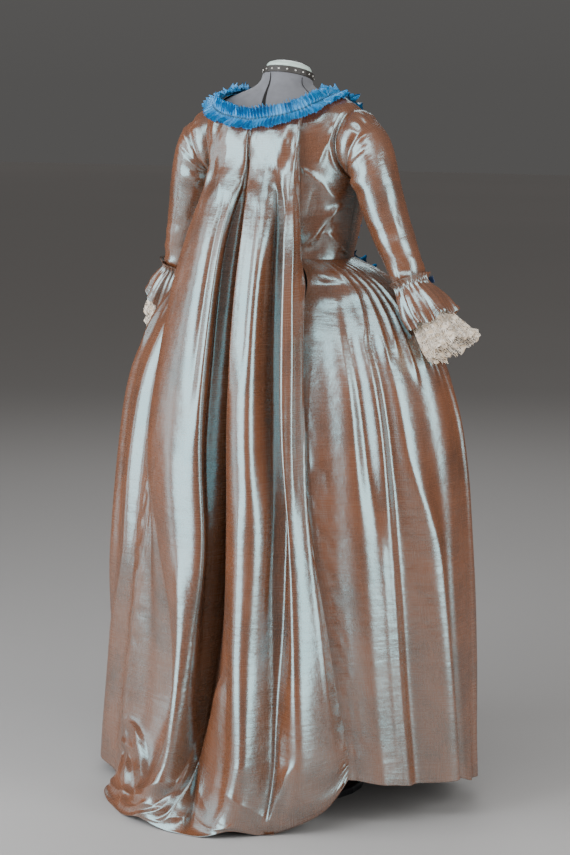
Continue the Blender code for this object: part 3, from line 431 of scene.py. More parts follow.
# Turn, height
NECKLINE = ((0.0, 1.447), (20.0, 1.453), (40.0, 1.467), (60.0, 1.482), (80.0, 1.489),
            (100.0, 1.49), (110.0, 1.4875), (118.0, 1.484), (128.0, 1.4755), (140.0, 1.446),
            (147.0, 1.402), (153.0, 1.355), (163.0, 1.34), (180.0, 1.335))
ARM_FORWARD = 0.01
ARM_HEIGHT = 1.397
ARM_HALF_DEPTH = 0.052
ARM_HALF_HEIGHT = 0.066
RIM_CUT = 0.955
BODICE_COLUMNS, BODICE_ROWS = 100, 120
THREADS_A_METRE = 1000.0 / 0.9
SLUBS_A_METRE = 1000.0 / 70.0

# Silk taffeta, plain woven copper one way and pale blue the other: a crisp shine that is pale blue
# where a fold catches the light and copper in the shade. The copper is the cloth's own colour and
# the blue a tinted shine over it. Threads are drawn at 0.9 mm, coarser than the real 0.1 mm.
shot_taffeta, tree, shader = new_material(
    "shot_silk_taffeta", IOR=2.2, Specular_IOR_Level=1.0, Specular_Tint="#ACDDE4",
    Sheen_Weight=0.05, Sheen_Roughness=0.4, Sheen_Tint="#A9CAD2")
cloth = (put(tree, "TexCoord"), "UV")
thread_sets = []
for scale in ((SLUBS_A_METRE, THREADS_A_METRE, 1.0), (THREADS_A_METRE, SLUBS_A_METRE, 1.0)):
    laid = put(tree, "Mapping", {"Scale": scale}, {"Vector": cloth})
    thread_sets.append((put(tree, "TexNoise", {"noise_dimensions": "2D", "Scale": 1.0, "Detail": 2.0},
                            {"Vector": (laid, "Vector")}), "Fac"))
weave = put(tree, "Math", {"operation": "ADD"}, dict(enumerate(thread_sets)))
threads = put(tree, "Bump", {"Strength": 0.22, "Distance": 0.00012}, {"Height": (weave, "Value")})
handling = put(tree, "TexNoise", {"noise_dimensions": "2D", "Scale": 34.0, "Detail": 3.0},
               {"Vector": cloth})
dents = put(tree, "Bump", {"Strength": 0.26, "Distance": 0.003},
            {"Height": (handling, "Fac"), "Normal": (threads, "Normal")})
laid = put(tree, "Mapping", {"Scale": (9.0, 75.0, 1.0)}, {"Vector": cloth})
weft_pulls = put(tree, "TexNoise", {"noise_dimensions": "2D", "Scale": 1.0, "Detail": 4.0,
                                    "Roughness": 0.55}, {"Vector": (laid, "Vector")})
pulled = put(tree, "Bump", {"Strength": 0.2, "Distance": 0.0025},
             {"Height": (weft_pulls, "Fac"), "Normal": (dents, "Normal")})
dye = put(tree, "TexNoise", {"noise_dimensions": "2D", "Scale": 9.0, "Detail": 4.0, "Roughness": 0.6},
          {"Vector": cloth})
mixed = put(tree, "Math", {"operation": "MULTIPLY_ADD", 1: 0.35},
            {0: (weave, "Value"), 2: (dye, "Fac")})
coppers = put(tree, "ValToRGB", links={"Fac": (mixed, "Value")},
              stops=((0.55, "#5F351C"), (1.0, "#7C4728")))
gloss = put(tree, "MapRange", {"From Min": 0.6, "From Max": 1.4, "To Min": 0.25, "To Max": 0.29},
            {"Value": (weave, "Value")})
join(shader, Base_Color=(coppers, "Color"), Roughness=(gloss, "Result"), Normal=(pulled, "Normal"))


def unit(vectors):
    return vectors / np.maximum(np.linalg.norm(vectors, axis=-1, keepdims=True), 1e-9)


def bell(value, middle, width):
    return np.exp(-((value - middle) / width) ** 2)


def taffeta(name, label, grid, away, node):
    """Make a piece of the gown's own cloth."""
    return skin(name + label, grid, shot_taffeta, [node + label], away)


def soft_noise(across, along, seed):
    """Smooth bumps from -1 to 1 on a net of cells one unit wide, the same each run."""
    table = np.random.default_rng(seed).uniform(-1.0, 1.0, (64, 64))
    i, j = np.floor(across).astype(int), np.floor(along).astype(int)
    s, t = across - i, along - j
    s, t = s * s * (3.0 - 2.0 * s), t * t * (3.0 - 2.0 * t)
    low = table[i % 64, j % 64] * (1 - s) + table[(i + 1) % 64, j % 64] * s
    high = table[i % 64, (j + 1) % 64] * (1 - s) + table[(i + 1) % 64, (j + 1) % 64] * s
    return low * (1 - t) + high * t


def creases(across, height, table):
    """Sum the listed creases: each runs from its top to its foot, and fades at both ends.

    A lean above 0 makes the flank on the low side wide and the far one steep.
    """
    total = np.zeros(np.broadcast(across, height).shape)
    for top_across, foot_across, top, foot, width, depth, *rest in table:
        lean = rest[0] if rest else 0.0
        part = (top - height) / (top - foot)
        middle = top_across + (foot_across - top_across) * np.clip(part, 0.0, 1.0)
        away = (across - middle) / (width * (0.7 + 0.5 * np.clip(part, 0.0, 1.0)))
        away = np.where(away < 0.0, away / (1.0 + lean), away / (1.0 - lean))
        ends = ease(part / 0.22 + 0.15) * ease((1.0 - part) / 0.3 + 0.1)
        total += depth * ends * np.exp(-away * away) * (1.0 - 0.35 * np.clip(np.abs(away), 0.0, 1.0))
    return total


def bodice_surface(turn, height, side, extra=0.0):
    """The outside of the bodice: the form's own surface moved out by the wearing ease."""
    around = form_surface(turn + 1.0, height, side) - form_surface(turn - 1.0, height, side)
    upward = form_surface(turn, height + 0.002, side) - form_surface(turn, height - 0.002, side)
    normal = unit(np.cross(around, upward))
    outward = at_points(side * np.sin(np.radians(turn)), np.cos(np.radians(turn)), 0.0 * height)
    normal = np.where((normal * outward).sum(-1, keepdims=True) < 0.0, -normal, normal)
    rise = ease((height - WAIST) / 0.08)
    normal[..., 2] *= rise
    room = EASE_AT_WAIST + (EASE_AT_SHOULDER - EASE_AT_WAIST) * ease((height - 1.25) / 0.15)
    room = room + EASE_OF_FRONT * ease((turn - 100.0) / 25.0) * rise + extra
    return form_surface(turn, height, side) + unit(normal) * room[..., None]


def neckline(turn):
    return read(NECKLINE, np.abs(turn), 1)


# Turn at the top and at the foot, height of the top and of the foot, width, depth, lean where not 0
BODICE_CREASES = (
    (72.0, 39.0, 1.272, 1.176, 9.0, 0.007), (36.0, 72.0, 1.35, 1.266, 9.0, 0.005),
    (58.0, 92.0, 1.214, 1.16, 9.0, 0.0044), (60.0, 47.0, 1.43, 1.34, 5.0, 0.004, 0.2),
    (62.0, 46.0, 1.25, 1.16, 7.0, -0.004), (50.0, 42.0, 1.32, 1.23, 6.0, -0.003),
    (96.0, 100.0, 1.33, 1.18, 5.5, 0.0028, 0.2), (108.0, 112.0, 1.3, 1.16, 5.5, -0.0024),
    (124.0, 120.0, 1.26, 1.16, 5.5, 0.0026, 0.2), (136.0, 132.0, 1.27, 1.16, 5.2, -0.0022),
)


def armhole_place(places):
    """Where points lie about the armhole: their two offsets as shares of its ellipse, and its size."""
    deep = (places[..., 1] - ARM_FORWARD) / ARM_HALF_DEPTH
    high = (places[..., 2] - ARM_HEIGHT) / ARM_HALF_HEIGHT
    return deep, high, np.hypot(deep, high)


def down_steps(count, first=0.0, last=1.0):
    """Even shares as a column, for the rows of a grid."""
    return np.linspace(first, last, count)[:, None]


def across_steps(count, first=0.0, last=1.0):
    """Even shares as a row, for the columns of a grid."""
    return np.linspace(first, last, count)[None, :]


def bodice_panel(side, first_turn, last_turn):
    part = across_steps(BODICE_COLUMNS)
    down = down_steps(BODICE_ROWS)
    top = neckline(first_turn(YOKE) + (last_turn - first_turn(YOKE)) * part)
    height = top + (WAIST + 0.0001 - top) * down
    turn = first_turn(height) + (last_turn - first_turn(height)) * part
    rim = armhole_place(bodice_surface(turn, height, side))[2]
    wrinkle = creases(turn, height, BODICE_CREASES) + 0.0009 * soft_noise(turn / 8.0, height / 0.06, 3)
    wrinkle += 0.0016 * (bell(rim, 1.2, 0.07) - bell(rim, 1.03, 0.05))
    edge = ease(part / 0.06) * ease((1.0 - part) / 0.06)
    edge = edge * ease((height - WAIST) / 0.006) * ease(down / 0.05)
    return bodice_surface(turn, height, side, np.maximum(wrinkle, -0.0022) * edge)


def cut_armhole(piece, side):
    """Take away the cloth inside the armhole and lay the cut edge on the armhole's line."""
    mesh = piece.data
    count = len(mesh.vertices)
    places = np.empty(count * 3)
    mesh.vertices.foreach_get("co", places)
    places = places.reshape(-1, 3)
    deep, high, size = armhole_place(places)
    by_arm = places[:, 0] * side > 0.08
    inside = (size < RIM_CUT) & by_arm
    near = (size >= RIM_CUT) & (size < 1.0) & by_arm
    places[near, 1] = ARM_FORWARD + deep[near] / size[near] * ARM_HALF_DEPTH
    places[near, 2] = ARM_HEIGHT + high[near] / size[near] * ARM_HALF_HEIGHT
    mesh.vertices.foreach_set("co", places.reshape(-1))
    build = bmesh.new()
    build.from_mesh(mesh)
    build.verts.ensure_lookup_table()
    bmesh.ops.delete(build, geom=[build.verts[i] for i in np.nonzero(inside)[0]], context="VERTS")
    build.to_mesh(mesh)
    build.free()


for side, label in SIDES:
    side_grid = bodice_panel(side, lambda z: read(BACK_SEAM, z, 1), SIDE_SEAM)
    side_piece = taffeta("bodice_side_cloth_", label, side_grid, level(side_grid), "bodice_side_")
    cut_armhole(side_piece, side)
    front_grid = bodice_panel(side, lambda z: SIDE_SEAM + 0.0 * z, 180.0)
    front_piece = taffeta("bodice_front_cloth_", label, front_grid, level(front_grid), "bodice_front_")
    cut_armhole(front_piece, side)


# --- Skirt ---
# Straight lengths of the same taffeta, pleated small into the waist seam and held out by side
# hoops. The seat of each pleat is sharp at the waist and opens into a soft fold down to the hem.
ANKLE = 0.16
FRONT_EDGE = 148.0
HEM_ALLOWANCE = 0.01
SIDE_COLUMNS, SIDE_ROWS = 170, 230
FRONT_COLUMNS, FRONT_ROWS = 90, 150
FOOT_ROWS = 34
# Height, half width, front, back; the first row follows the bodice at the waist seam
WAIST_OF_FORM = FORM_SECTIONS[4]
SKIRT_SECTIONS = (
    (WAIST, WAIST_OF_FORM[1] + EASE_AT_WAIST, WAIST_OF_FORM[2] - EASE_AT_WAIST,
     WAIST_OF_FORM[3] + EASE_AT_WAIST),
    (1.13, 0.206, -0.147, 0.112), (1.1, 0.252, -0.164, 0.128), (1.05, 0.298, -0.184, 0.158),
    (1.0, 0.328, -0.202, 0.186), (0.9, 0.372, -0.232, 0.22), (0.8, 0.394, -0.252, 0.24),
    (0.65, 0.41, -0.272, 0.26), (0.45, 0.42, -0.29, 0.275), (0.2, 0.427, -0.305, 0.285),
    (0.0, 0.432, -0.315, 0.295),
)
# Turn, height, flare
HEMS = {
    1.0: ((42.3, 0.012, 0.004), (60.0, 0.03, 0.014), (78.0, 0.046, 0.018), (98.0, 0.052, 0.006),
          (130.0, 0.052, 0.0), (180.0, 0.052, 0.0)),
    -1.0: ((42.3, 0.105, 0.002), (56.0, 0.094, 0.0), (70.0, 0.084, 0.004), (84.0, 0.088, 0.0),
           (100.0, 0.06, 0.004), (130.0, 0.052, 0.0), (180.0, 0.052, 0.0)),
}
# Turn at the waist, hip and hem, half turn, depth at the hip and the hem
SIDE_FOLDS = (
    (44.0, 40.0, 52.0, 6.0, 0.004, 0.012), (56.0, 55.0, 63.0, 5.0, 0.006, 0.01),
    (68.0, 70.0, 75.0, 6.0, 0.006, 0.013), (79.0, 83.0, 86.0, 4.5, 0.007, 0.009),
    (87.0, 92.0, 97.0, 4.0, 0.008, 0.011), (94.0, 100.0, 107.0, 3.6, 0.008, 0.009),
    (101.0, 107.5, 117.0, 3.6, 0.008, 0.01), (108.0, 115.0, 127.0, 3.6, 0.007, 0.009),
    (115.0, 123.0, 137.0, 3.8, 0.006, 0.01),
)
FRONT_FOLD_TURNS = (158.0, 169.0, 180.0, 191.0, 202.0)
PLEAT_TOP = 1.153
PLEAT_LEAN = 0.3
# Turn at the top and at the foot, height of the top and of the foot, width, depth
SKIRT_CREASES = tuple((*row, PLEAT_LEAN) for row in (
    (101.0, 104.0, 0.95, 0.06, 4.5, 0.008), (113.0, 118.0, 0.96, 0.06, 4.5, 0.008),
    (127.0, 133.0, 0.96, 0.06, 5.0, 0.009), (57.0, 53.0, PLEAT_TOP, 0.99, 2.2, 0.0065),
    (62.5, 60.5, PLEAT_TOP, 0.94, 2.2, 0.007), (68.0, 67.5, PLEAT_TOP, 0.96, 2.0, 0.007),
    (73.5, 75.0, PLEAT_TOP, 0.9, 2.2, 0.0075), (79.0, 82.0, PLEAT_TOP, 0.93, 2.0, 0.007),
    (84.0, 88.5, PLEAT_TOP, 0.9, 1.6, 0.0064), (88.0, 94.0, PLEAT_TOP, 0.86, 1.4, 0.0062),
    (92.0, 99.0, PLEAT_TOP, 0.93, 1.3, 0.0056), (96.5, 104.0, PLEAT_TOP, 0.88, 1.4, 0.006),
    (101.0, 109.5, PLEAT_TOP, 0.93, 1.3, 0.0056), (106.0, 115.0, PLEAT_TOP, 0.86, 1.4, 0.0058),
    (111.0, 121.0, PLEAT_TOP, 0.92, 1.3, 0.0052), (116.0, 127.0, PLEAT_TOP, 0.88, 1.5, 0.0054),
    (122.0, 133.0, PLEAT_TOP, 0.94, 1.5, 0.0048), (128.0, 138.0, PLEAT_TOP, 0.9, 1.6, 0.0048),
    (135.0, 142.0, PLEAT_TOP, 0.95, 1.7, 0.0044),
))


def millimetres(rows, every=1):
    """Rows of millimetres as metres; with every at 2, each second value only."""
    return tuple(tuple(value / 1000.0 if index % every == 0 else value for index, value in enumerate(row))
                 for row in rows)


# Millimetres and degrees: height, then nine pairs of turn and depth across the cloth
DRAPES = {
    -1.0: millimetres((
        (1050, 33, 0, 41, 5, 45.5, 0, 50.5, 6, 55.5, 0, 60, 7, 72, 0, 84, 5, 96, 2),
        (790, 35, 1, 43.5, 11, 48.5, -3, 53.5, 10, 58, -4, 63.5, 12, 78, -1, 89, 9, 100, 2),
        (550, 37, 0, 46, 12, 53.5, 4, 56.5, 1, 62, -12, 76.5, 17, 83, -4, 88, 3, 98, 1),
        (250, 41, -2, 50, 14, 57, 6, 60, 2, 66, -18, 80, 26, 87, -4, 92, 3, 100, 1),
        (50, 44, -2, 54, 14, 60, 6, 63, 2, 69, -18, 83, 27, 90, -4, 95, 3, 102, 1),
    ), every=2),
    1.0: millimetres((
        (1050, 32, 0, 38, -2, 43, 6, 52, 0, 59, 6, 67, 0, 76, 6, 84, 0, 94, 3),
        (790, 31, 0, 36.5, -4, 42, 10, 56, -3, 63, 9, 72, 0, 80, 10, 88, -2, 98, 4),
        (550, 33, 0, 37, -4, 43, 10, 54, -4, 62, 10, 70, 0, 82, 12, 90, -2, 100, 5),
        (250, 40, 0, 46, -10, 58, 12, 67, -3, 74, 10, 81, 0, 88, 11, 95, -2, 103, 5),
        (50, 44, 0, 50, -6, 61, 10, 70, -3, 77, 9, 84, 0, 91, 10, 98, -2, 106, 5),
    ), every=2),
}
# Turn, height, half turn, half height, depth
POUCHES = (
    (45.0, 1.128, 12.0, 0.012, 0.0065), (43.0, 1.106, 10.0, 0.008, -0.004),
    (55.0, 1.092, 9.0, 0.016, 0.005), (40.0, 1.08, 7.0, 0.012, 0.004),
)


def grid_normals(grid, away):
    """Normals of a grid of points, on the side that the directions in away point to."""
    across = np.gradient(grid, axis=1)
    along = np.gradient(grid, axis=0)
    normal = unit(np.cross(across, along))
    if (normal * away).sum() < 0.0:
        normal = -normal
    return normal


def turned_edge(grid, away):
    """Add the turned-in hem allowance behind the last row, 1 mm under the cloth."""
    edge, inward = grid[-1], grid_normals(grid, away)[-1]
    back = unit(grid[-3] - edge)
    under = [edge - inward * 0.0006 - back * 0.0004, edge - inward * 0.0011,
             edge - inward * 0.0011 + back * HEM_ALLOWANCE]
    return np.concatenate((grid, np.array(under)))


def skirt_section(height):
    return tuple(read(SKIRT_SECTIONS, np.minimum(height, WAIST), column) for column in (1, 2, 3))


def round_turn(turn):
    """Fold a turn past the centre front back on to the other side's count."""
    return np.minimum(turn, 360.0 - turn)


def round_fold(away, depth):
    return np.where(away < 1.0, depth * 0.5 * (1.0 + np.cos(np.pi * np.minimum(away, 1.0))), 0.0)


def built_folds(turn, height):
    """The soft folds that the solids have too."""
    total = np.zeros(np.broadcast(turn, height).shape)
    for waist, hip, hem, half, hip_depth, hem_depth in SIDE_FOLDS:
        middle = read(((0.05, hem), (0.95, hip), (WAIST, waist)), height, 1)
        depth = read(((0.05, hem_depth), (0.95, hip_depth), (WAIST, 0.0)), height, 1)
        away = np.abs((turn - middle) / (half * (0.75 + 0.35 * (1.0 - height / WAIST))))
        total += round_fold(away, depth)
    for middle in FRONT_FOLD_TURNS:
        total += round_fold(np.abs((turn - middle) / 5.0), 0.007 * ease((WAIST - height) / 0.3))
    return total


def skirt_surface(turn, height, side, extra=0.0):
    seam = read(BACK_SEAM, height, 1)
    fade = ease((turn - seam) / 6.0)
    low = ease((ANKLE * 2.0 - height) / (ANKLE * 2.0))
    out = built_folds(turn, height) * fade + read(HEMS[side], round_turn(turn), 2) * low + extra
    width, front, back = skirt_section(height)
    return oval(width + out, front - out, back + out, turn, height, side)


def hem_drop(turn, side, down):
    """Heights from the ankle down to the hem, where down runs from 0 to 1."""
    hem = read(HEMS[side], round_turn(turn), 1)
    return ANKLE + (hem - ANKLE) * down


def skirt_grid(side, turn_at, columns, rows, detail):
    part = across_steps(columns)
    down = down_steps(rows)
    height = WAIST - 0.0002 - (WAIST - ANKLE) * down ** 1.12
    turn = turn_at(part, height)
    foot_down = down_steps(FOOT_ROWS)[1:]
    foot_turn = turn_at(part, np.full(foot_down.shape, ANKLE))
    turn = np.concatenate((turn + 0.0 * height, foot_turn))
    height = np.concatenate((height + 0.0 * part, hem_drop(foot_turn, side, foot_down)))
    edge = ease(part / 0.03) * ease((1.0 - part) / 0.09) * ease((WAIST - height) / 0.004)
    grid = skirt_surface(turn, height, side, detail(turn, height) * edge)
    return turned_edge(grid, level(grid))


def draped(turn, height, table):
    """Step smoothly from crest to valley to crest across the cloth, by a table of turns and depths."""
    columns = [read(table, height, column) for column in range(1, len(table[0]))]
    total = columns[1] + 0.0 * turn
    for k in range(0, len(columns) - 2, 2):
        share = ease((turn - columns[k]) / (columns[k + 2] - columns[k]))
        total = total + (columns[k + 3] - columns[k + 1]) * share
    return total


def side_detail(turn, height, side):
    shift = 0.0 if side < 0.0 else 2.3
    extra = creases(turn + shift, height, SKIRT_CREASES)
    below = ease((1.12 - height) / 0.14) * ease((104.0 - turn) / 10.0)
    built = built_folds(turn, height) * ease((turn - read(BACK_SEAM, height, 1)) / 6.0)
    extra += below * (draped(turn, height, DRAPES[side]) - built)
    for middle, level, half_turn, half_height, depth in POUCHES:
        away = ((turn - middle - shift) / half_turn) ** 2 + ((height - level) / half_height) ** 2
        extra += depth * np.exp(-away)
    seed = 11 if side < 0.0 else 21
    extra += 0.0024 * soft_noise(turn / 9.0, height / 0.24, seed) * ease((WAIST - height) / 0.2)
    near_seam = bell(turn - read(BACK_SEAM, height, 1), 3.0, 3.5) * ease((0.86 - height) / 0.1)
    extra += near_seam * 0.0022 * soft_noise(turn / 1.6 + 14.0 * height, height / 0.028, seed + 1)
    return extra


def side_turn(part, height):
    seam = read(BACK_SEAM, height, 1)
    return seam + (FRONT_EDGE - seam) * part


for side, label in SIDES:
    grid = skirt_grid(side, side_turn, SIDE_COLUMNS, SIDE_ROWS, lambda t, h: side_detail(t, h, side))
    skirt_side = taffeta("skirt_side_cloth_", label, grid, level(grid), "skirt_side_")

grid = skirt_grid(
    1.0, lambda part, height: FRONT_EDGE + (360.0 - 2.0 * FRONT_EDGE) * part + 0.0 * height,
    FRONT_COLUMNS, FRONT_ROWS,
    lambda t, h: 0.0016 * soft_noise(t / 5.0, h / 0.3, 31) + 0.0007 * soft_noise(t / 2.0, h / 0.12, 32))
skirt_front = taffeta("skirt_front_cloth", "", grid, level(grid), "skirt_front")


# --- Sack back and train ---
# Two double box pleats hang from the neckline, stitched down to the shoulder blades and loose below,
# where they open into three long tubes and run out on the floor as a short train. Taffeta is crisp:
# its folds keep sharp little dents along their length.
# Millimetres: height, across, out
CENTRE_FOLD = millimetres((
    (1470, 0, 116), (1410, 0, 136), (1340, 0, 138), (1300, 0, 138),
    (1200, 2, 150), (1010, 4, 176), (790, 4, 205), (560, 2, 218),
    (380, 6, 240), (260, 8, 270), (160, 6, 300),
))
# Millimetres: height, then across and out for each fold's brink, crest, dip, swell and edge
FOLDS = {
    1.0: millimetres((
        (1470, 9, 126, 45, 124, 78, 117, 98, 109, 104, 102),
        (1410, 9, 144, 48, 146, 83, 138, 103, 130, 109, 122),
        (1340, 9, 154, 50, 160, 85, 150, 104, 142, 110, 129),
        (1290, 12, 174, 50, 179, 87, 172, 110, 159, 118, 144),
        (1200, 17, 210, 52, 222, 90, 212, 122, 193, 134, 168),
        (1010, 19, 256, 64, 269, 115, 254, 155, 230, 170, 204),
        (790, 14, 299, 73, 309, 130, 290, 175, 264, 197, 236),
        (560, -8, 316, 45, 334, 105, 312, 148, 280, 182, 252),
        (380, 6, 330, 32, 354, 75, 326, 115, 274, 180, 244),
        (260, 10, 348, 30, 374, 62, 346, 105, 282, 185, 246),
        (160, 16, 362, 36, 392, 72, 358, 116, 294, 195, 252),
    )),
    -1.0: millimetres((
        (1470, 9, 126, 45, 124, 78, 117, 98, 109, 104, 102),
        (1410, 9, 144, 48, 145, 83, 140, 103, 131, 109, 122),
        (1340, 9, 153, 48, 158, 80, 148, 102, 143, 109, 129),
        (1290, 14, 174, 62, 180, 88, 147, 110, 167, 121, 144),
        (1200, 24, 208, 80, 224, 106, 162, 128, 205, 142, 170),
        (1010, 28, 250, 90, 270, 118, 184, 146, 245, 168, 204),
        (790, 40, 288, 108, 310, 142, 220, 166, 273, 186, 236),
        (560, 46, 300, 122, 332, 164, 260, 194, 292, 218, 262),
        (380, 50, 314, 122, 352, 166, 280, 214, 312, 244, 272),
        (260, 56, 332, 135, 374, 170, 304, 232, 330, 262, 276),
        (160, 62, 352, 142, 392, 178, 318, 242, 336, 274, 276),
    )),
}
# Across, out and lift, at the foot and at the hem: the centre line in metres, the rest in millimetres
CENTRE_TRAIN = (0.0, 0.34, 0.0, -0.03, 0.43, 0.0)
TRAINS = {
    1.0: millimetres((
        (26, 392, 30, 30, 430, 3), (60, 420, 60, 95, 424, 16), (100, 380, 30, 152, 396, 4),
        (160, 310, 0, 210, 356, 0), (236, 270, 18, 276, 300, 12),
    )),
    -1.0: millimetres((
        (68, 384, 20, 78, 424, 4), (140, 420, 64, 124, 402, 18), (178, 340, 10, 166, 345, 0),
        (238, 350, 50, 212, 305, 12), (272, 284, 60, 262, 262, 45),
    )),
}
TRAIN_LENGTH = 0.3
SACK_COLUMNS, SACK_ROWS, TRAIN_ROWS = 165, 300, 91
SEAM_COUNT = 6.0
FLOOR_CLEARANCE = 0.0022
HEM_CLEARANCE = 0.0008
# Columns as in BODICE_CREASES, with counts across the cloth, 0 at the centre and 6 at the seam
SACK_CREASES = {
    1.0: (
        (2.1, 1.98, 1.47, 1.27, 0.5, 0.009, 0.55), (4.5, 4.45, 1.47, 1.3, 0.14, 0.0024),
        (4.95, 4.9, 1.47, 1.31, 0.12, 0.0022), (3.2, 2.9, 1.44, 1.3, 0.3, -0.003),
        (0.66, 0.6, 1.345, 0.24, 0.3, -0.02), (1.22, 1.18, 1.34, 0.76, 0.17, 0.0044),
        (1.62, 1.55, 1.32, 0.82, 0.24, -0.005), (2.1, 2.2, 0.56, 0.1, 0.5, 0.006, 0.2),
        (4.3, 4.1, 0.7, 0.1, 0.6, -0.01), (5.3, 5.3, 0.95, 0.05, 0.4, -0.006),
    ),
    -1.0: (
        (1.45, 1.5, 1.45, 1.29, 0.36, -0.0034), (2.1, 2.15, 1.46, 1.29, 0.3, 0.003, 0.3),
        (4.4, 4.35, 1.47, 1.31, 0.13, 0.0026), (4.85, 4.85, 1.47, 1.31, 0.12, 0.0026),
        (1.18, 1.15, 1.34, 0.86, 0.17, 0.0046), (1.62, 1.62, 1.3, 0.9, 0.24, -0.0046),
        (2.32, 2.4, 1.2, 0.64, 0.24, -0.006), (2.66, 2.66, 1.335, 0.28, 0.22, -0.011),
        (1.65, 1.75, 0.7, 0.12, 0.4, 0.006, 0.2), (3.95, 3.9, 1.33, 0.62, 0.2, 0.004),
        (4.5, 4.5, 1.33, 0.62, 0.18, 0.0036), (5.45, 5.4, 0.95, 0.15, 0.22, 0.004),
        (1.3, 1.2, 0.4, -0.08, 0.34, -0.006), (3.4, 3.1, 0.25, -0.11, 0.34, 0.008),
    ),
}
# Signed counts: left of the centre above 0. The first is the fold that lies slantwise over the train.
TRAIN_FOLDS = (
    (-1.0, 1.1, 0.33, -0.15, 0.5, 0.026, 0.5), (0.1, 2.3, 0.3, -0.13, 0.42, -0.015),
    (5.6, 3.0, 0.15, -0.06, 0.5, 0.02, 0.2), (5.3, 3.6, 0.05, -0.13, 0.45, 0.013, 0.2),
    (-2.3, -1.7, 0.14, -0.12, 0.5, -0.01), (-3.8, -3.0, 0.16, -0.11, 0.4, 0.012, -0.3),
)


def through(points, at):
    """A rounded curve through the points of the last axis but one, where at counts from the first."""
    before = 2.0 * points[..., :1, :] - points[..., 1:2, :]
    after = 2.0 * points[..., -1:, :] - points[..., -2:-1, :]
    line = np.concatenate((before, points, after), axis=-2)
    i = np.minimum(at.astype(int), points.shape[-2] - 2)
    t = (at - i)[..., None]
    p0, p1, p2, p3 = (np.take_along_axis(line, (i + k)[..., None, None], axis=-2)[..., 0, :]
                      for k in range(4))
    return 0.5 * (2 * p1 + (p2 - p0) * t + (2 * p0 - 5 * p1 + 4 * p2 - p3) * t ** 2
                  + (3 * p1 - p0 - 3 * p2 + p3) * t ** 3)


def softened(grid, columns, rows):
    """Average a grid of points over a few columns and rows, so that its folds run smoothly."""
    for axis, spread in ((1, columns), (0, rows)):
        reach = int(3.0 * spread)
        weights = np.exp(-0.5 * (np.arange(-reach, reach + 1) / spread) ** 2)
        ends = [(reach, reach) if index == axis else (0, 0) for index in range(3)]
        wide = np.pad(grid, ends, mode="reflect", reflect_type="odd")
        count = grid.shape[axis]
        grid = sum(weight * np.take(wide, range(index, index + count), axis)
                   for index, weight in enumerate(weights / weights.sum()))
    return grid


def seam_line(height, side):
    turn = read(BACK_SEAM, height, 1)
    upper = bodice_surface(turn, np.maximum(height, WAIST), side)
    lower = skirt_surface(turn, np.minimum(height, WAIST), side)
    return np.where((height >= WAIST)[..., None], upper, lower)


def sack_section(side, height):
    line = [at_points(read(CENTRE_FOLD, height, 1), read(CENTRE_FOLD, height, 2), height)]
    for column in range(1, 11, 2):
        line.append(at_points(side * read(FOLDS[side], height, column),
                              read(FOLDS[side], height, column + 1), height))
    line.append(seam_line(height, side))
    return np.stack(line, axis=-2)


def outward(grid):
    """Rough directions away from the body, for the back of the gown."""
    return np.zeros_like(grid) + [0.0, 1.0, 0.6] + grid * [0.6, 0.0, 0.0]


def train_surface(side, at, part):
    shape = np.broadcast(at, part).shape
    at, part = np.broadcast_to(at, shape), np.broadcast_to(part, shape)
    ankle = through(sack_section(side, np.full(shape, ANKLE)), at)
    feet = [CENTRE_TRAIN[:3]] + [(side * row[0], *row[1:3]) for row in TRAINS[side]]
    hems = [CENTRE_TRAIN[3:]] + [(side * row[3], *row[4:]) for row in TRAINS[side]]
    turn = np.array([BACK_SEAM[-1][1]])
    hem_height = read(HEMS[side], turn, 1)
    feet.append(tuple(skirt_surface(turn, 0.5 * (ANKLE + hem_height), side)[0]))
    hems.append(tuple(skirt_surface(turn, hem_height, side)[0]))
    foot = through(np.broadcast_to(np.array(feet), shape + (7, 3)), at)
    hem = through(np.broadcast_to(np.array(hems), shape + (7, 3)), at)
    p = part[..., None]
    return ankle * (1 - p) ** 2 + foot * 2 * p * (1 - p) + hem * p * p


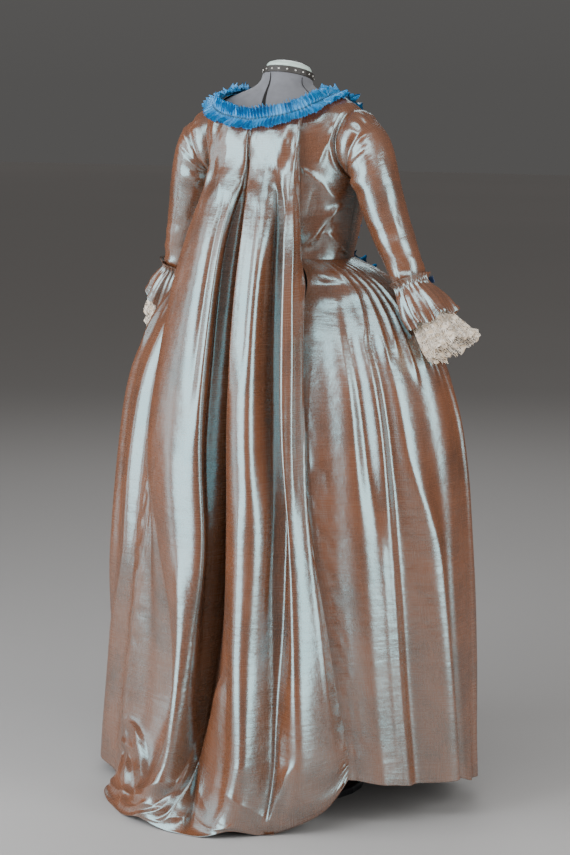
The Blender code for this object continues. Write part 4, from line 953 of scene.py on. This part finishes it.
for side, label in SIDES:
    at = across_steps(SACK_COLUMNS, 0.0, SEAM_COUNT)
    top = neckline(read(BACK_SEAM, NECKLINE[0][1], 1) * at / SEAM_COUNT)
    down = down_steps(SACK_ROWS)
    height = top + (ANKLE - top) * down
    ragged = 0.022 * bell(height, 1.315, 0.045) * soft_noise(side * at / 0.8, 0.0 * height + 2.5, 44)
    body = through(sack_section(side, height + ragged), np.broadcast_to(at, height.shape))
    body[..., 2] = height
    part = down_steps(TRAIN_ROWS)[1:]
    train = train_surface(side, at, part)
    grid = np.concatenate((body, train))
    loose_cloth = ease((1.37 - np.concatenate((height, 0.0 * train[..., 0]))) / 0.05)[..., None]
    grid = grid + (softened(grid, 4.0, 6.0) - grid) * loose_cloth
    run = np.concatenate((height, ANKLE - TRAIN_LENGTH * np.broadcast_to(part, train.shape[:2])))
    count = np.broadcast_to(at, run.shape)
    away = outward(grid)
    seed = 41 if side > 0.0 else 51
    loose = ease((1.36 - run) / 0.12)
    extra = creases(count, run, SACK_CREASES[side]) * (0.15 + 0.85 * loose)
    extra += 0.0026 * loose * soft_noise(count / 1.1, run / 0.22, seed)
    yoke = ease((run - 1.24) / 0.08)
    extra += 0.002 * yoke * soft_noise(count / 0.6 + 15.0 * run, run / 0.026, seed + 1)
    extra += 0.0034 * yoke * soft_noise(count / 0.8 - 9.0 * run, run / 0.06, seed + 5)
    by_seam = bell(count, SEAM_COUNT, 0.35) * ease((0.88 - run) / 0.1)
    extra += by_seam * 0.0024 * soft_noise(count / 0.3 + 9.0 * run, run / 0.022, seed + 2)
    pool = ease((0.12 - run) / 0.1) * ease((run + 0.15) / 0.05)
    crumple = (0.007 if side > 0.0 else 0.003) * pool
    sharp = 1.0 - 2.2 * np.abs(soft_noise(count / 2.0 + 5.0 * run, run / 0.09 + 0.5 * count, seed + 3))
    extra += crumple * (0.7 * sharp + 0.4 * soft_noise(count / 1.2, run / 0.07 + 0.7 * count, seed + 4))
    edge = ease(count / 0.25) * ease((SEAM_COUNT - count) / 0.2) * ease((top - run) / 0.006)
    grid = grid + grid_normals(grid, away) * (extra * edge)[..., None]
    laid = creases(side * count, run, TRAIN_FOLDS) * ease((SEAM_COUNT - count) / 0.6)
    grid = grid + laid[..., None] * [0.0, 0.55, 0.83]
    grid[..., 2] = np.maximum(grid[..., 2], FLOOR_CLEARANCE)
    grid = turned_edge(grid, away)
    grid[..., 2] = np.maximum(grid[..., 2], HEM_CLEARANCE)
    sack = taffeta("sack_back_cloth_", label, grid, outward(grid), "sack_back_")


# --- Sleeves ---
# Close taffeta sleeves to the elbow, set into round armholes with a little ease at the head. The
# bend of the arm puts short cross wrinkles at the elbow and under the arm.
ARM_SWINGS = {1.0: (-0.004, -0.033), -1.0: (0.01, 0.03)}
SLEEVE_DROP = 0.28
CAP_ROWS = 11
CAP_PUFF = 0.006
# Across, out, height, slope, half height, half depth, and for the flounces the gathers' depth
SLEEVE_RINGS = (
    (0.197, 0.013, 1.388, 18.0, 0.062, 0.053), (0.214, 0.018, 1.37, 42.0, 0.057, 0.053),
    (0.226, 0.02, 1.34, 60.0, 0.052, 0.052), (0.24, 0.019, 1.3, 68.0, 0.048, 0.049),
    (0.257, 0.015, 1.25, 70.0, 0.044, 0.046), (0.276, 0.009, 1.2, 69.0, 0.041, 0.043),
    (0.296, 0.003, 1.15, 68.0, 0.0372, 0.0392), (0.312, -0.002, 1.108, 68.0, 0.0331, 0.0351),
)
# Angle round the arm (0 at the back, 90 on top), place along it, half angle, half length, depth
SLEEVE_WRINKLES = (
    (20.0, 0.9, 60.0, 0.014, -0.002), (10.0, 0.94, 50.0, 0.011, 0.0022),
    (340.0, 0.83, 50.0, 0.016, -0.0018),
    (60.0, 0.86, 40.0, 0.014, 0.002), (30.0, 0.76, 46.0, 0.018, 0.0018),
    (350.0, 0.7, 40.0, 0.016, -0.0015),
    (300.0, 0.3, 46.0, 0.02, -0.003), (320.0, 0.38, 40.0, 0.02, 0.0028),
    (310.0, 0.46, 42.0, 0.018, -0.0022),
    (340.0, 0.24, 30.0, 0.02, 0.0026), (80.0, 0.55, 40.0, 0.03, 0.001),
    (200.0, 0.88, 60.0, 0.016, -0.0018),
    (18.0, 0.1, 24.0, 0.01, -0.0036), (40.0, 0.15, 30.0, 0.01, 0.004),
    (62.0, 0.1, 20.0, 0.009, -0.0024),
    (8.0, 0.21, 26.0, 0.013, -0.003), (180.0, 0.8, 50.0, 0.018, 0.002),
    (230.0, 0.4, 50.0, 0.022, 0.0024),
    (120.0, 0.92, 40.0, 0.014, 0.0016),
)


def arm_centre(across, out, height, side):
    sideways, backward = ARM_SWINGS[side]
    share = np.minimum((SLEEVE_RINGS[0][2] - height) / SLEEVE_DROP, 1.2)
    return at_points(side * (across + sideways * share), out + backward * share, height)


def spread_rings(rings, count):
    """Read the rings' columns at count even steps along the arm."""
    table = [(float(index),) + tuple(row) for index, row in enumerate(rings)]
    at = np.linspace(0.0, len(rings) - 1.0, count)
    return [read(table, at, column) for column in range(1, len(table[0]))]


def arm_tube(rings, side, angles, rows, wave=0.0):
    """Points round the arm, and the middle of each ring; wave adds to the radius."""
    across, out, height, slope, half_high, half_deep = spread_rings(rings, rows)[:6]
    middle = arm_centre(across, out, height, side)
    lean = np.radians(slope)[:, None]
    angle = np.radians(angles)[None, :]
    scale = 1.0 + wave / half_deep[:, None]
    upward = at_points(side * np.sin(lean), 0.0, np.cos(lean))
    grid = (middle[:, None, :] + upward * (half_high[:, None] * scale * np.sin(angle))[..., None]
            + at_points(0.0, half_deep[:, None] * scale * np.cos(angle), 0.0))
    return grid, middle


def armhole_line(side, angles):
    angle = np.radians(angles)
    out = ARM_FORWARD + ARM_HALF_DEPTH * np.cos(angle)
    height = ARM_HEIGHT + ARM_HALF_HEIGHT * np.sin(angle)
    width, front, back = (read(FORM_SECTIONS, height, column) for column in (1, 2, 3))
    depth = np.where(out > 0.0, back, -front)
    across = width * np.sqrt(np.maximum(1.0 - (out / depth) ** 2, 0.0)) + EASE_AT_SHOULDER + 0.001
    return at_points(side * across, out, height)


for side, label in SIDES:
    angles = np.linspace(-120.0, 240.0, 121)
    tube, middle = arm_tube(SLEEVE_RINGS, side, angles, 120)
    head = armhole_line(side, angles)[None]
    first = tube[:1]
    blend = np.linspace(0.0, 1.0, CAP_ROWS + 1)[:-1, None, None]
    puff = CAP_PUFF * 4.0 * blend * (1.0 - blend)
    cap = head * (1.0 - blend) + first * blend + unit(first - middle[:1, None, :]) * puff
    grid = np.concatenate((cap, tube))
    middles = np.concatenate((np.broadcast_to(middle[:1], (CAP_ROWS, 3)), middle))
    away = grid - middles[:, None, :]
    along = down_steps(len(grid))
    turn = np.mod(angles, 360.0)[None, :]
    extra = 0.0008 * soft_noise(turn / 24.0, along / 0.16, 61)
    extra = extra + 0.0004 * soft_noise(turn / 12.0, along / 0.06, 62)
    for spot, place_along, half_turn, half_length, depth in SLEEVE_WRINKLES:
        apart = np.mod(turn - spot + 180.0, 360.0) - 180.0
        lean_along = along - place_along - 0.0006 * apart
        share = (apart / half_turn) ** 2 + (lean_along / (half_length * 2.0)) ** 2
        extra = extra + depth * np.exp(-share)
    on_head = ease((turn - 10.0) / 30.0) * ease((170.0 - turn) / 30.0)
    pucker = 0.0012 * np.sin(np.radians(turn) * 17.0) * on_head
    seam_groove = -0.001 * bell(np.minimum(np.abs(turn - 240.0), 6.0), 0.0, 1.6)
    extra = extra + pucker * bell(along, 0.07, 0.035) + seam_groove
    grid = grid + grid_normals(grid, away) * (extra * ease(along / 0.03))[..., None]
    grid[:, -1] = grid[:, 0]
    sleeve = taffeta("sleeve_cloth_", label, grid, away, "sleeve_")


# --- Sleeve flounces ---
# One pinked strip of the same taffeta each, drawn up on a thread into a flounce with a short header
# that stands above the gathering; deeper at the back of the elbow.
FLOUNCE_RINGS = (
    (0.3067, -0.0003, 1.122, 68.0, 0.044, 0.046, 0.0023),
    (0.3116, -0.0019, 1.109, 68.0, 0.0353, 0.0373, 0.0),
    (0.324, -0.006, 1.088, 66.0, 0.044, 0.048, 0.0023),
    (0.34, -0.012, 1.06, 62.0, 0.052, 0.057, 0.0047),
    (0.356, -0.018, 1.034, 58.0, 0.053, 0.06, 0.006),
)
FRILL_ANGLES = np.linspace(-120.0, 240.0, 289)
FLOUNCE_ROWS = 48
PINK_STEPS = 46
PINK_DEPTH = 0.0035


def clear_of_skirt(grid, gap):
    """Move points that would lie inside the skirt out to just clear of it."""
    side = np.where(grid[..., 0] > 0.0, 1.0, -1.0)
    height = np.minimum(grid[..., 2], WAIST)
    width, front, back = skirt_section(height)
    depth = np.where(grid[..., 1] > 0.0, back, -front)
    turn = np.degrees(np.arctan2(np.abs(grid[..., 0]) / width, grid[..., 1] / depth))
    limits = [skirt_surface(turn, height, way) for way in (1.0, -1.0)]
    limit = np.where((side > 0.0)[..., None], *limits)
    reach = np.hypot(limit[..., 0], limit[..., 1]) + gap
    apart = np.hypot(grid[..., 0], grid[..., 1])
    push = np.where((apart < reach) & (grid[..., 2] < WAIST), reach / apart, 1.0)
    return grid * at_points(push, push, 1.0 + 0.0 * push)


def gathered_waves(angles, count, seed, drift=0.55):
    """Uneven gathers round a closed edge, from -1 to 1."""
    turn = np.radians(angles)
    uneven = drift * (np.sin(2.0 * turn + seed) + 0.7 * np.sin(5.0 * turn + 2.1 * seed)
                      + 0.5 * np.sin(3.0 * turn - seed))
    wave = np.sin(count * turn + uneven)
    size = 1.0 + 0.3 * np.sin(3.0 * turn + 1.3 * seed) + 0.18 * np.sin(7.0 * turn + seed)
    return wave * size


def frill(rings, side, wave, drop, gap):
    """A gathered tube round the arm, and the ways out of it."""
    tube, middle = arm_tube(rings, side, FRILL_ANGLES, len(wave), wave)
    tube[..., 2] += drop
    tube = clear_of_skirt(tube, gap)
    tube[:, -1] = tube[:, 0]
    return tube, tube - middle[:, None, :]


for side, label in SIDES:
    row = np.arange(FLOUNCE_ROWS)[:, None]
    wave_depth = spread_rings(FLOUNCE_RINGS, FLOUNCE_ROWS)[6][:, None]
    opened = wave_depth / FLOUNCE_RINGS[-1][6]
    big = np.tanh(1.6 * gathered_waves(FRILL_ANGLES, 7, 1.7 if side > 0.0 else 0.4, 0.8))[None, :]
    small = gathered_waves(FRILL_ANGLES, 23, 0.9 if side > 0.0 else 2.2, 0.9)[None, :]
    wave = 1.15 * wave_depth * big + 0.0003 * opened * small
    wave = wave + 0.0017 * small * (0.9 * bell(row, 12.0, 7.0) + 0.2)
    drop = ease((row - 39.0) / 8.0) * (0.004 * big + 0.0014 * small)
    drop[-1] -= PINK_DEPTH * np.abs(np.mod(FRILL_ANGLES * PINK_STEPS / 360.0, 1.0) - 0.5)
    tube, away = frill(FLOUNCE_RINGS, side, wave, drop, 0.0075)
    flounce = taffeta("flounce_cloth_", label, tube, away, "flounce_")


# --- Lace cuffs ---
# Cream cotton bobbin lace, gathered inside each sleeve's end so that it hangs below the flounce:
# dense sprigs and cord rings on a net ground, with a scalloped edge.
LACE_RINGS = (
    (0.3128, -0.0023, 1.106, 68.0, 0.0306, 0.0326, 0.0),
    (0.327, -0.008, 1.08, 66.0, 0.035, 0.038, 0.0015),
    (0.351, -0.018, 1.038, 58.0, 0.042, 0.044, 0.003),
    (0.374, -0.038, 0.998, 54.0, 0.05, 0.063, 0.0045),
    (0.385, -0.054, 0.976, 52.0, 0.051, 0.076, 0.006),
)
NET_MM = 3.6
SPRIG_MM = 21.0
CORD_RING_MM = 8.0
SCALLOPS = 22
LACE_ROWS = 60


# Bleached cotton thread, plaited over pins: matt and warm, see-through between the threads. The net
# is drawn at 3.6 mm, coarser than the real 2 mm.
cotton_lace, tree, shader = new_material("cotton_bobbin_lace", Roughness=0.82, Sheen_Weight=0.2)
cloth = (put(tree, "TexCoord"), "UV")
wander = put(tree, "TexNoise", {"noise_dimensions": "2D", "Scale": 120.0, "Detail": 2.0},
             {"Vector": cloth})
holes, flowers, rings = (
    put(tree, "TexVoronoi", {"voronoi_dimensions": "2D", "feature": feature, "Scale": 1000.0 / size,
                             "Randomness": uneven}, {"Vector": cloth})
    for size, uneven, feature in ((NET_MM, 0.25, "DISTANCE_TO_EDGE"), (SPRIG_MM, 0.7, "F1"),
                                  (CORD_RING_MM, 1.0, "DISTANCE_TO_EDGE")))
petals = put(tree, "Math", {"operation": "MULTIPLY_ADD", 1: 0.55},
             {0: (wander, "Fac"), 2: (flowers, "Distance")})
net, sprigs, cords = (
    (put(tree, "MapRange", {"From Min": open_at, "From Max": thread_at}, {"Value": source}), "Result")
    for source, open_at, thread_at in (((holes, "Distance"), 0.15, 0.08), ((petals, "Value"), 0.57, 0.5),
                                       ((rings, "Distance"), 0.1, 0.05)))
worked = put(tree, "Math", {"operation": "MAXIMUM"}, {0: net, 1: sprigs})
drawn = put(tree, "Math", {"operation": "MAXIMUM", "use_clamp": True}, {0: (worked, "Value"), 1: cords})
raised = put(tree, "Bump", {"Strength": 0.6, "Distance": 0.0006}, {"Height": (drawn, "Value")})
creams = put(tree, "ValToRGB", links={"Fac": (wander, "Fac")},
             stops=((0.3, "#C9B295"), (0.65, "#F1E6D6")))
join(shader, Alpha=(drawn, "Value"), Base_Color=(creams, "Color"), Normal=(raised, "Normal"))

for side, label in SIDES:
    wave_depth = spread_rings(LACE_RINGS, LACE_ROWS)[6][:, None]
    big = gathered_waves(FRILL_ANGLES, 8, 2.9 if side > 0.0 else 1.1)[None, :]
    small = gathered_waves(FRILL_ANGLES, 19, 0.3 if side > 0.0 else 1.9, 0.9)[None, :]
    scallop = np.abs(np.sin(np.radians(FRILL_ANGLES) * SCALLOPS / 2.0))[None, :]
    last = ease((np.arange(LACE_ROWS)[:, None] - 46.0) / 13.0)
    drop = last * (0.005 * big + 0.006 * (1.0 - scallop))
    tube, away = frill(LACE_RINGS, side, wave_depth * (1.1 * big + 0.3 * small), drop, 0.0145)
    lace = skin("lace_cuff_cloth_" + label, tube, cotton_lace, ["lace_cuff_" + label], away)


# --- Cuff bows ---
# A small flat bow of navy satin ribbon stitched at the gathering: two loops, two short tails and a
# knot. The knot hides the stitches.
BOW_LENGTH = 0.03
RIBBON_HALF = 0.0075
BOW_REACH = 0.0432
RIBBON_THICK = 0.0003

# Satin-woven ribbon: long floats give a smooth, streaked shine. They are drawn at 0.6 mm, coarser
# than the real 0.1 mm.
navy_satin, tree, shader = new_material("navy_satin_ribbon", Sheen_Weight=0.1, IOR=1.55)
cloth = (put(tree, "TexCoord"), "UV")
laid = put(tree, "Mapping", {"Scale": (1800.0, 40.0, 1.0)}, {"Vector": cloth})
floats = put(tree, "TexNoise", {"noise_dimensions": "2D", "Scale": 1.0, "Detail": 2.0},
             {"Vector": (laid, "Vector")})
navies = put(tree, "ValToRGB", links={"Fac": (floats, "Fac")},
             stops=((0.0, "#0A1830"), (1.0, "#15325A")))
gloss = put(tree, "MapRange", {"To Min": 0.28, "To Max": 0.42}, {"Value": (floats, "Fac")})
join(shader, Base_Color=(navies, "Color"), Roughness=(gloss, "Result"))

for side, label in SIDES:
    strips = []
    around = down_steps(28)
    wide = across_steps(7, -1.0)
    for way in (1.0, -1.0):
        reach = BOW_LENGTH * 0.5 * (1.0 - np.cos(2.0 * np.pi * around))
        thick = 0.003 * np.sin(2.0 * np.pi * around)
        half = RIBBON_HALF * (0.38 + 0.62 * np.sin(np.pi * around))
        strips.append(at_points(way * reach, thick + 0.0004 * np.cos(wide * 6.0), half * wide))
        tail = around * 0.022
        strips.append(at_points(way * (0.002 + 0.75 * tail), 0.0008 + 0.0008 * np.sin(around * 5.0),
                                -0.9 * tail + (0.0028 + 0.1 * tail) * wide + 0.16 * tail * np.abs(wide)))
    turn = around * 2.0 * np.pi
    strips.append(at_points(0.004 * np.cos(turn), 0.0034 * np.sin(turn), 0.0046 * wide))
    lean = side * math.radians(FLOUNCE_RINGS[1][3] - 90.0)
    centre = arm_centre(*FLOUNCE_RINGS[1][:3], side) - [0.0, BOW_REACH + 0.001, 0.0]
    for index, strip in enumerate(strips):
        x, y, z = strip[..., 0], strip[..., 1], strip[..., 2]
        placed = centre + at_points(x * math.cos(lean) + z * math.sin(lean), y,
                                    z * math.cos(lean) - x * math.sin(lean))
        ribbon = skin("cuff_bow_ribbon_%s_%d" % (label, index), placed, navy_satin,
                      ["cuff_bow_" + label] if index == 0 else [], placed * 0.0 + [0.0, -1.0, 0.0])
        ribbon.modifiers.new("ribbon", "SOLIDIFY").thickness = RIBBON_THICK


# --- Blue ruffles ---
# A pinked strip of bright blue silk, gathered down its middle on a thread so that both edges stand
# free. One goes round the neck over the tops of the pleats, and one runs down each front edge.
# Height, turn
FRONT_RUFFLE_TURNS = ((1.482, 120.0), (1.475, 128.0), (1.446, 139.0), (1.402, 145.5), (1.355, 149.0),
                      (1.25, 150.0), (1.16, 149.0), (1.05, 148.0), (0.075, 148.0))
RUFFLE_HALF_WIDTH = 0.0225
RUFFLE_END_TURN = 114.0

# Plain-woven silk, piece dyed: a crisp light blue shine with faint slubs, drawn at 1.1 mm, coarser
# than the real 0.2 mm. Near the stitch line the gathers shade each other, so it is darkened there.
blue_silk, tree, shader = new_material(
    "bright_blue_silk", IOR=1.75, Specular_Tint="#BFE4FA", Sheen_Weight=0.35, Sheen_Roughness=0.4,
    Sheen_Tint="#8CCBF0")
cloth = (put(tree, "TexCoord"), "UV")
laid = put(tree, "Mapping", {"Scale": (90.0, 900.0, 1.0)}, {"Vector": cloth})
slubs = put(tree, "TexNoise", {"noise_dimensions": "2D", "Scale": 1.0, "Detail": 3.0},
            {"Vector": (laid, "Vector")})
ribbed = put(tree, "Bump", {"Strength": 0.3, "Distance": 0.0002}, {"Height": (slubs, "Fac")})
blues = put(tree, "ValToRGB", links={"Fac": (slubs, "Fac")},
            stops=((0.3, "#17659C"), (0.7, "#2F93CC")))
strip = put(tree, "SeparateXYZ", links={"Vector": cloth})
from_stitches = put(tree, "Math", {"operation": "ABSOLUTE"}, {0: (strip, "Y")})
clear = put(tree, "MapRange", {"From Min": 0.0006, "From Max": 0.0034, "To Min": 0.22, "To Max": 1.0},
            {"Value": (from_stitches, "Value")})
shaded = put(tree, "VectorMath", {"operation": "SCALE"},
             {0: (blues, "Color"), "Scale": (clear, "Result")})
gloss = put(tree, "MapRange", {"To Min": 0.28, "To Max": 0.44}, {"Value": (slubs, "Fac")})
join(shader, Base_Color=(shaded, "Vector"), Roughness=(gloss, "Result"), Normal=(ribbed, "Normal"))


def ruffle(name, path, waves, lift, seed, node_name):
    raw_places, raw_normals = path(np.linspace(0.0, 1.0, 900))
    length = np.concatenate(([0.0], np.cumsum(np.linalg.norm(np.diff(raw_places, axis=0), axis=1))))

    def line(at, values):
        at = np.clip(at, 0.0, 1.0)
        return np.stack([np.interp(at, length / length[-1], values[:, k]) for k in range(3)], axis=-1)

    at = np.linspace(0.0, 1.0, waves * 18 + 1)
    run = unit(line(at + 0.014, raw_places) - line(at - 0.014, raw_places))
    here, normal = line(at, raw_places), line(at, raw_normals)
    normal = unit(normal - run * (normal * run).sum(-1, keepdims=True))
    wide = np.cross(normal, run)
    place = down_steps(15, -1.0)
    size, half = np.abs(place), np.sign(place)
    edge_line = here[None] + wide[None] * (RUFFLE_HALF_WIDTH * place)[..., None]
    step = np.linalg.norm(np.gradient(edge_line, axis=1), axis=-1)
    crowding = 1.4 * step / np.linalg.norm(np.gradient(here, axis=0), axis=-1)[None] - 0.4
    crowding = np.clip(crowding, 0.12, 1.0)
    count = at[None, :] * waves
    phase = 2.0 * np.pi * waves * at[None, :] + 1.8 * soft_noise(count / 2.6, 0.5 + 0.0 * place, seed)
    phase = phase + 2.6 * ease(size / 0.4) * soft_noise(count / 2.3, 9.0 * half + 0.7 * size, seed + 1)
    wave = np.tanh(1.9 * np.sin(phase)) / 0.95
    uneven = 0.9 + 0.8 * soft_noise(count / 1.4, 12.0 + 5.0 * half, seed + 2)
    swing = (0.0004 + 0.006 * size ** 0.8) * wave * crowding * uneven
    height = lift + 0.0014 + 0.0086 * size ** 1.1 + swing
    height = height + 0.002 * size * soft_noise(count / 4.0, 3.0 * place, seed + 3)
    tooth = 0.0009 * half * (size > 0.99) * np.where(np.arange(at.size)[None, :] % 4 < 2, 1.0, -1.0)
    sway = 0.003 * size * half * soft_noise(count / 1.8, 7.0 + 4.0 * half, seed + 4)
    grid = (here[None] + normal[None] * np.maximum(height, lift)[..., None]
            + wide[None] * (RUFFLE_HALF_WIDTH * place + tooth + sway)[..., None]
            + run[None] * (0.0026 * size * np.cos(phase) * crowding)[..., None])
    made = skin(name, grid, blue_silk, [node_name], normal[None] + 0.0 * grid)
    corners = made.data.uv_layers[0].data
    spread = np.empty(len(corners) * 2)
    corners.foreach_get("uv", spread)
    spread[1::2] -= spread[1::2].mean()
    corners.foreach_set("uv", spread)


def off_bodice(turn, height, side):
    """Points on the bodice, and the way straight out of it."""
    base = bodice_surface(turn, height, side)
    return base, unit(bodice_surface(turn, height, side, 0.01 + 0.0 * turn) - base)


def neck_line(at):
    turn = (2.0 * at - 1.0) * RUFFLE_END_TURN
    side = np.where(turn > 0.0, 1.0, -1.0)
    size = np.abs(turn)
    height = neckline(size) - 0.012 * (1.0 - ease((size - 20.0) / 45.0))
    base, normal = off_bodice(size, height, side)
    return base + normal * (0.018 * ease((62.0 - size) / 26.0))[..., None], normal


def front_line(side):

    def path(at):
        top, foot = FRONT_RUFFLE_TURNS[0][0], FRONT_RUFFLE_TURNS[-1][0]
        height = top + (foot - top) * at ** 1.6
        turn = read(FRONT_RUFFLE_TURNS, height, 1)
        upper, lower = np.maximum(height, WAIST), np.minimum(height, WAIST)
        base, normal = off_bodice(turn, upper, side)
        skirt = skirt_surface(turn, lower, side)
        around = skirt_surface(turn + 1.0, lower, side) - skirt_surface(turn - 1.0, lower, side)
        down = (skirt_surface(turn, np.minimum(lower + 0.01, WAIST), side)
                - skirt_surface(turn, lower - 0.01, side))
        facing = unit(np.cross(around, down))
        facing = np.where(facing[..., 1:2] > 0.0, -facing, facing)
        above = (height >= WAIST)[..., None]
        return np.where(above, base, skirt), np.where(above, normal, facing)

    return path


ruffle("neck_ruffle_silk", neck_line, 66, 0.0012, 71, "neck_ruffle")
for side, label in SIDES:
    ruffle("front_ruffle_silk_" + label, front_line(side), 60, 0.0024, 75 + int(side),
           "front_ruffle_" + label)
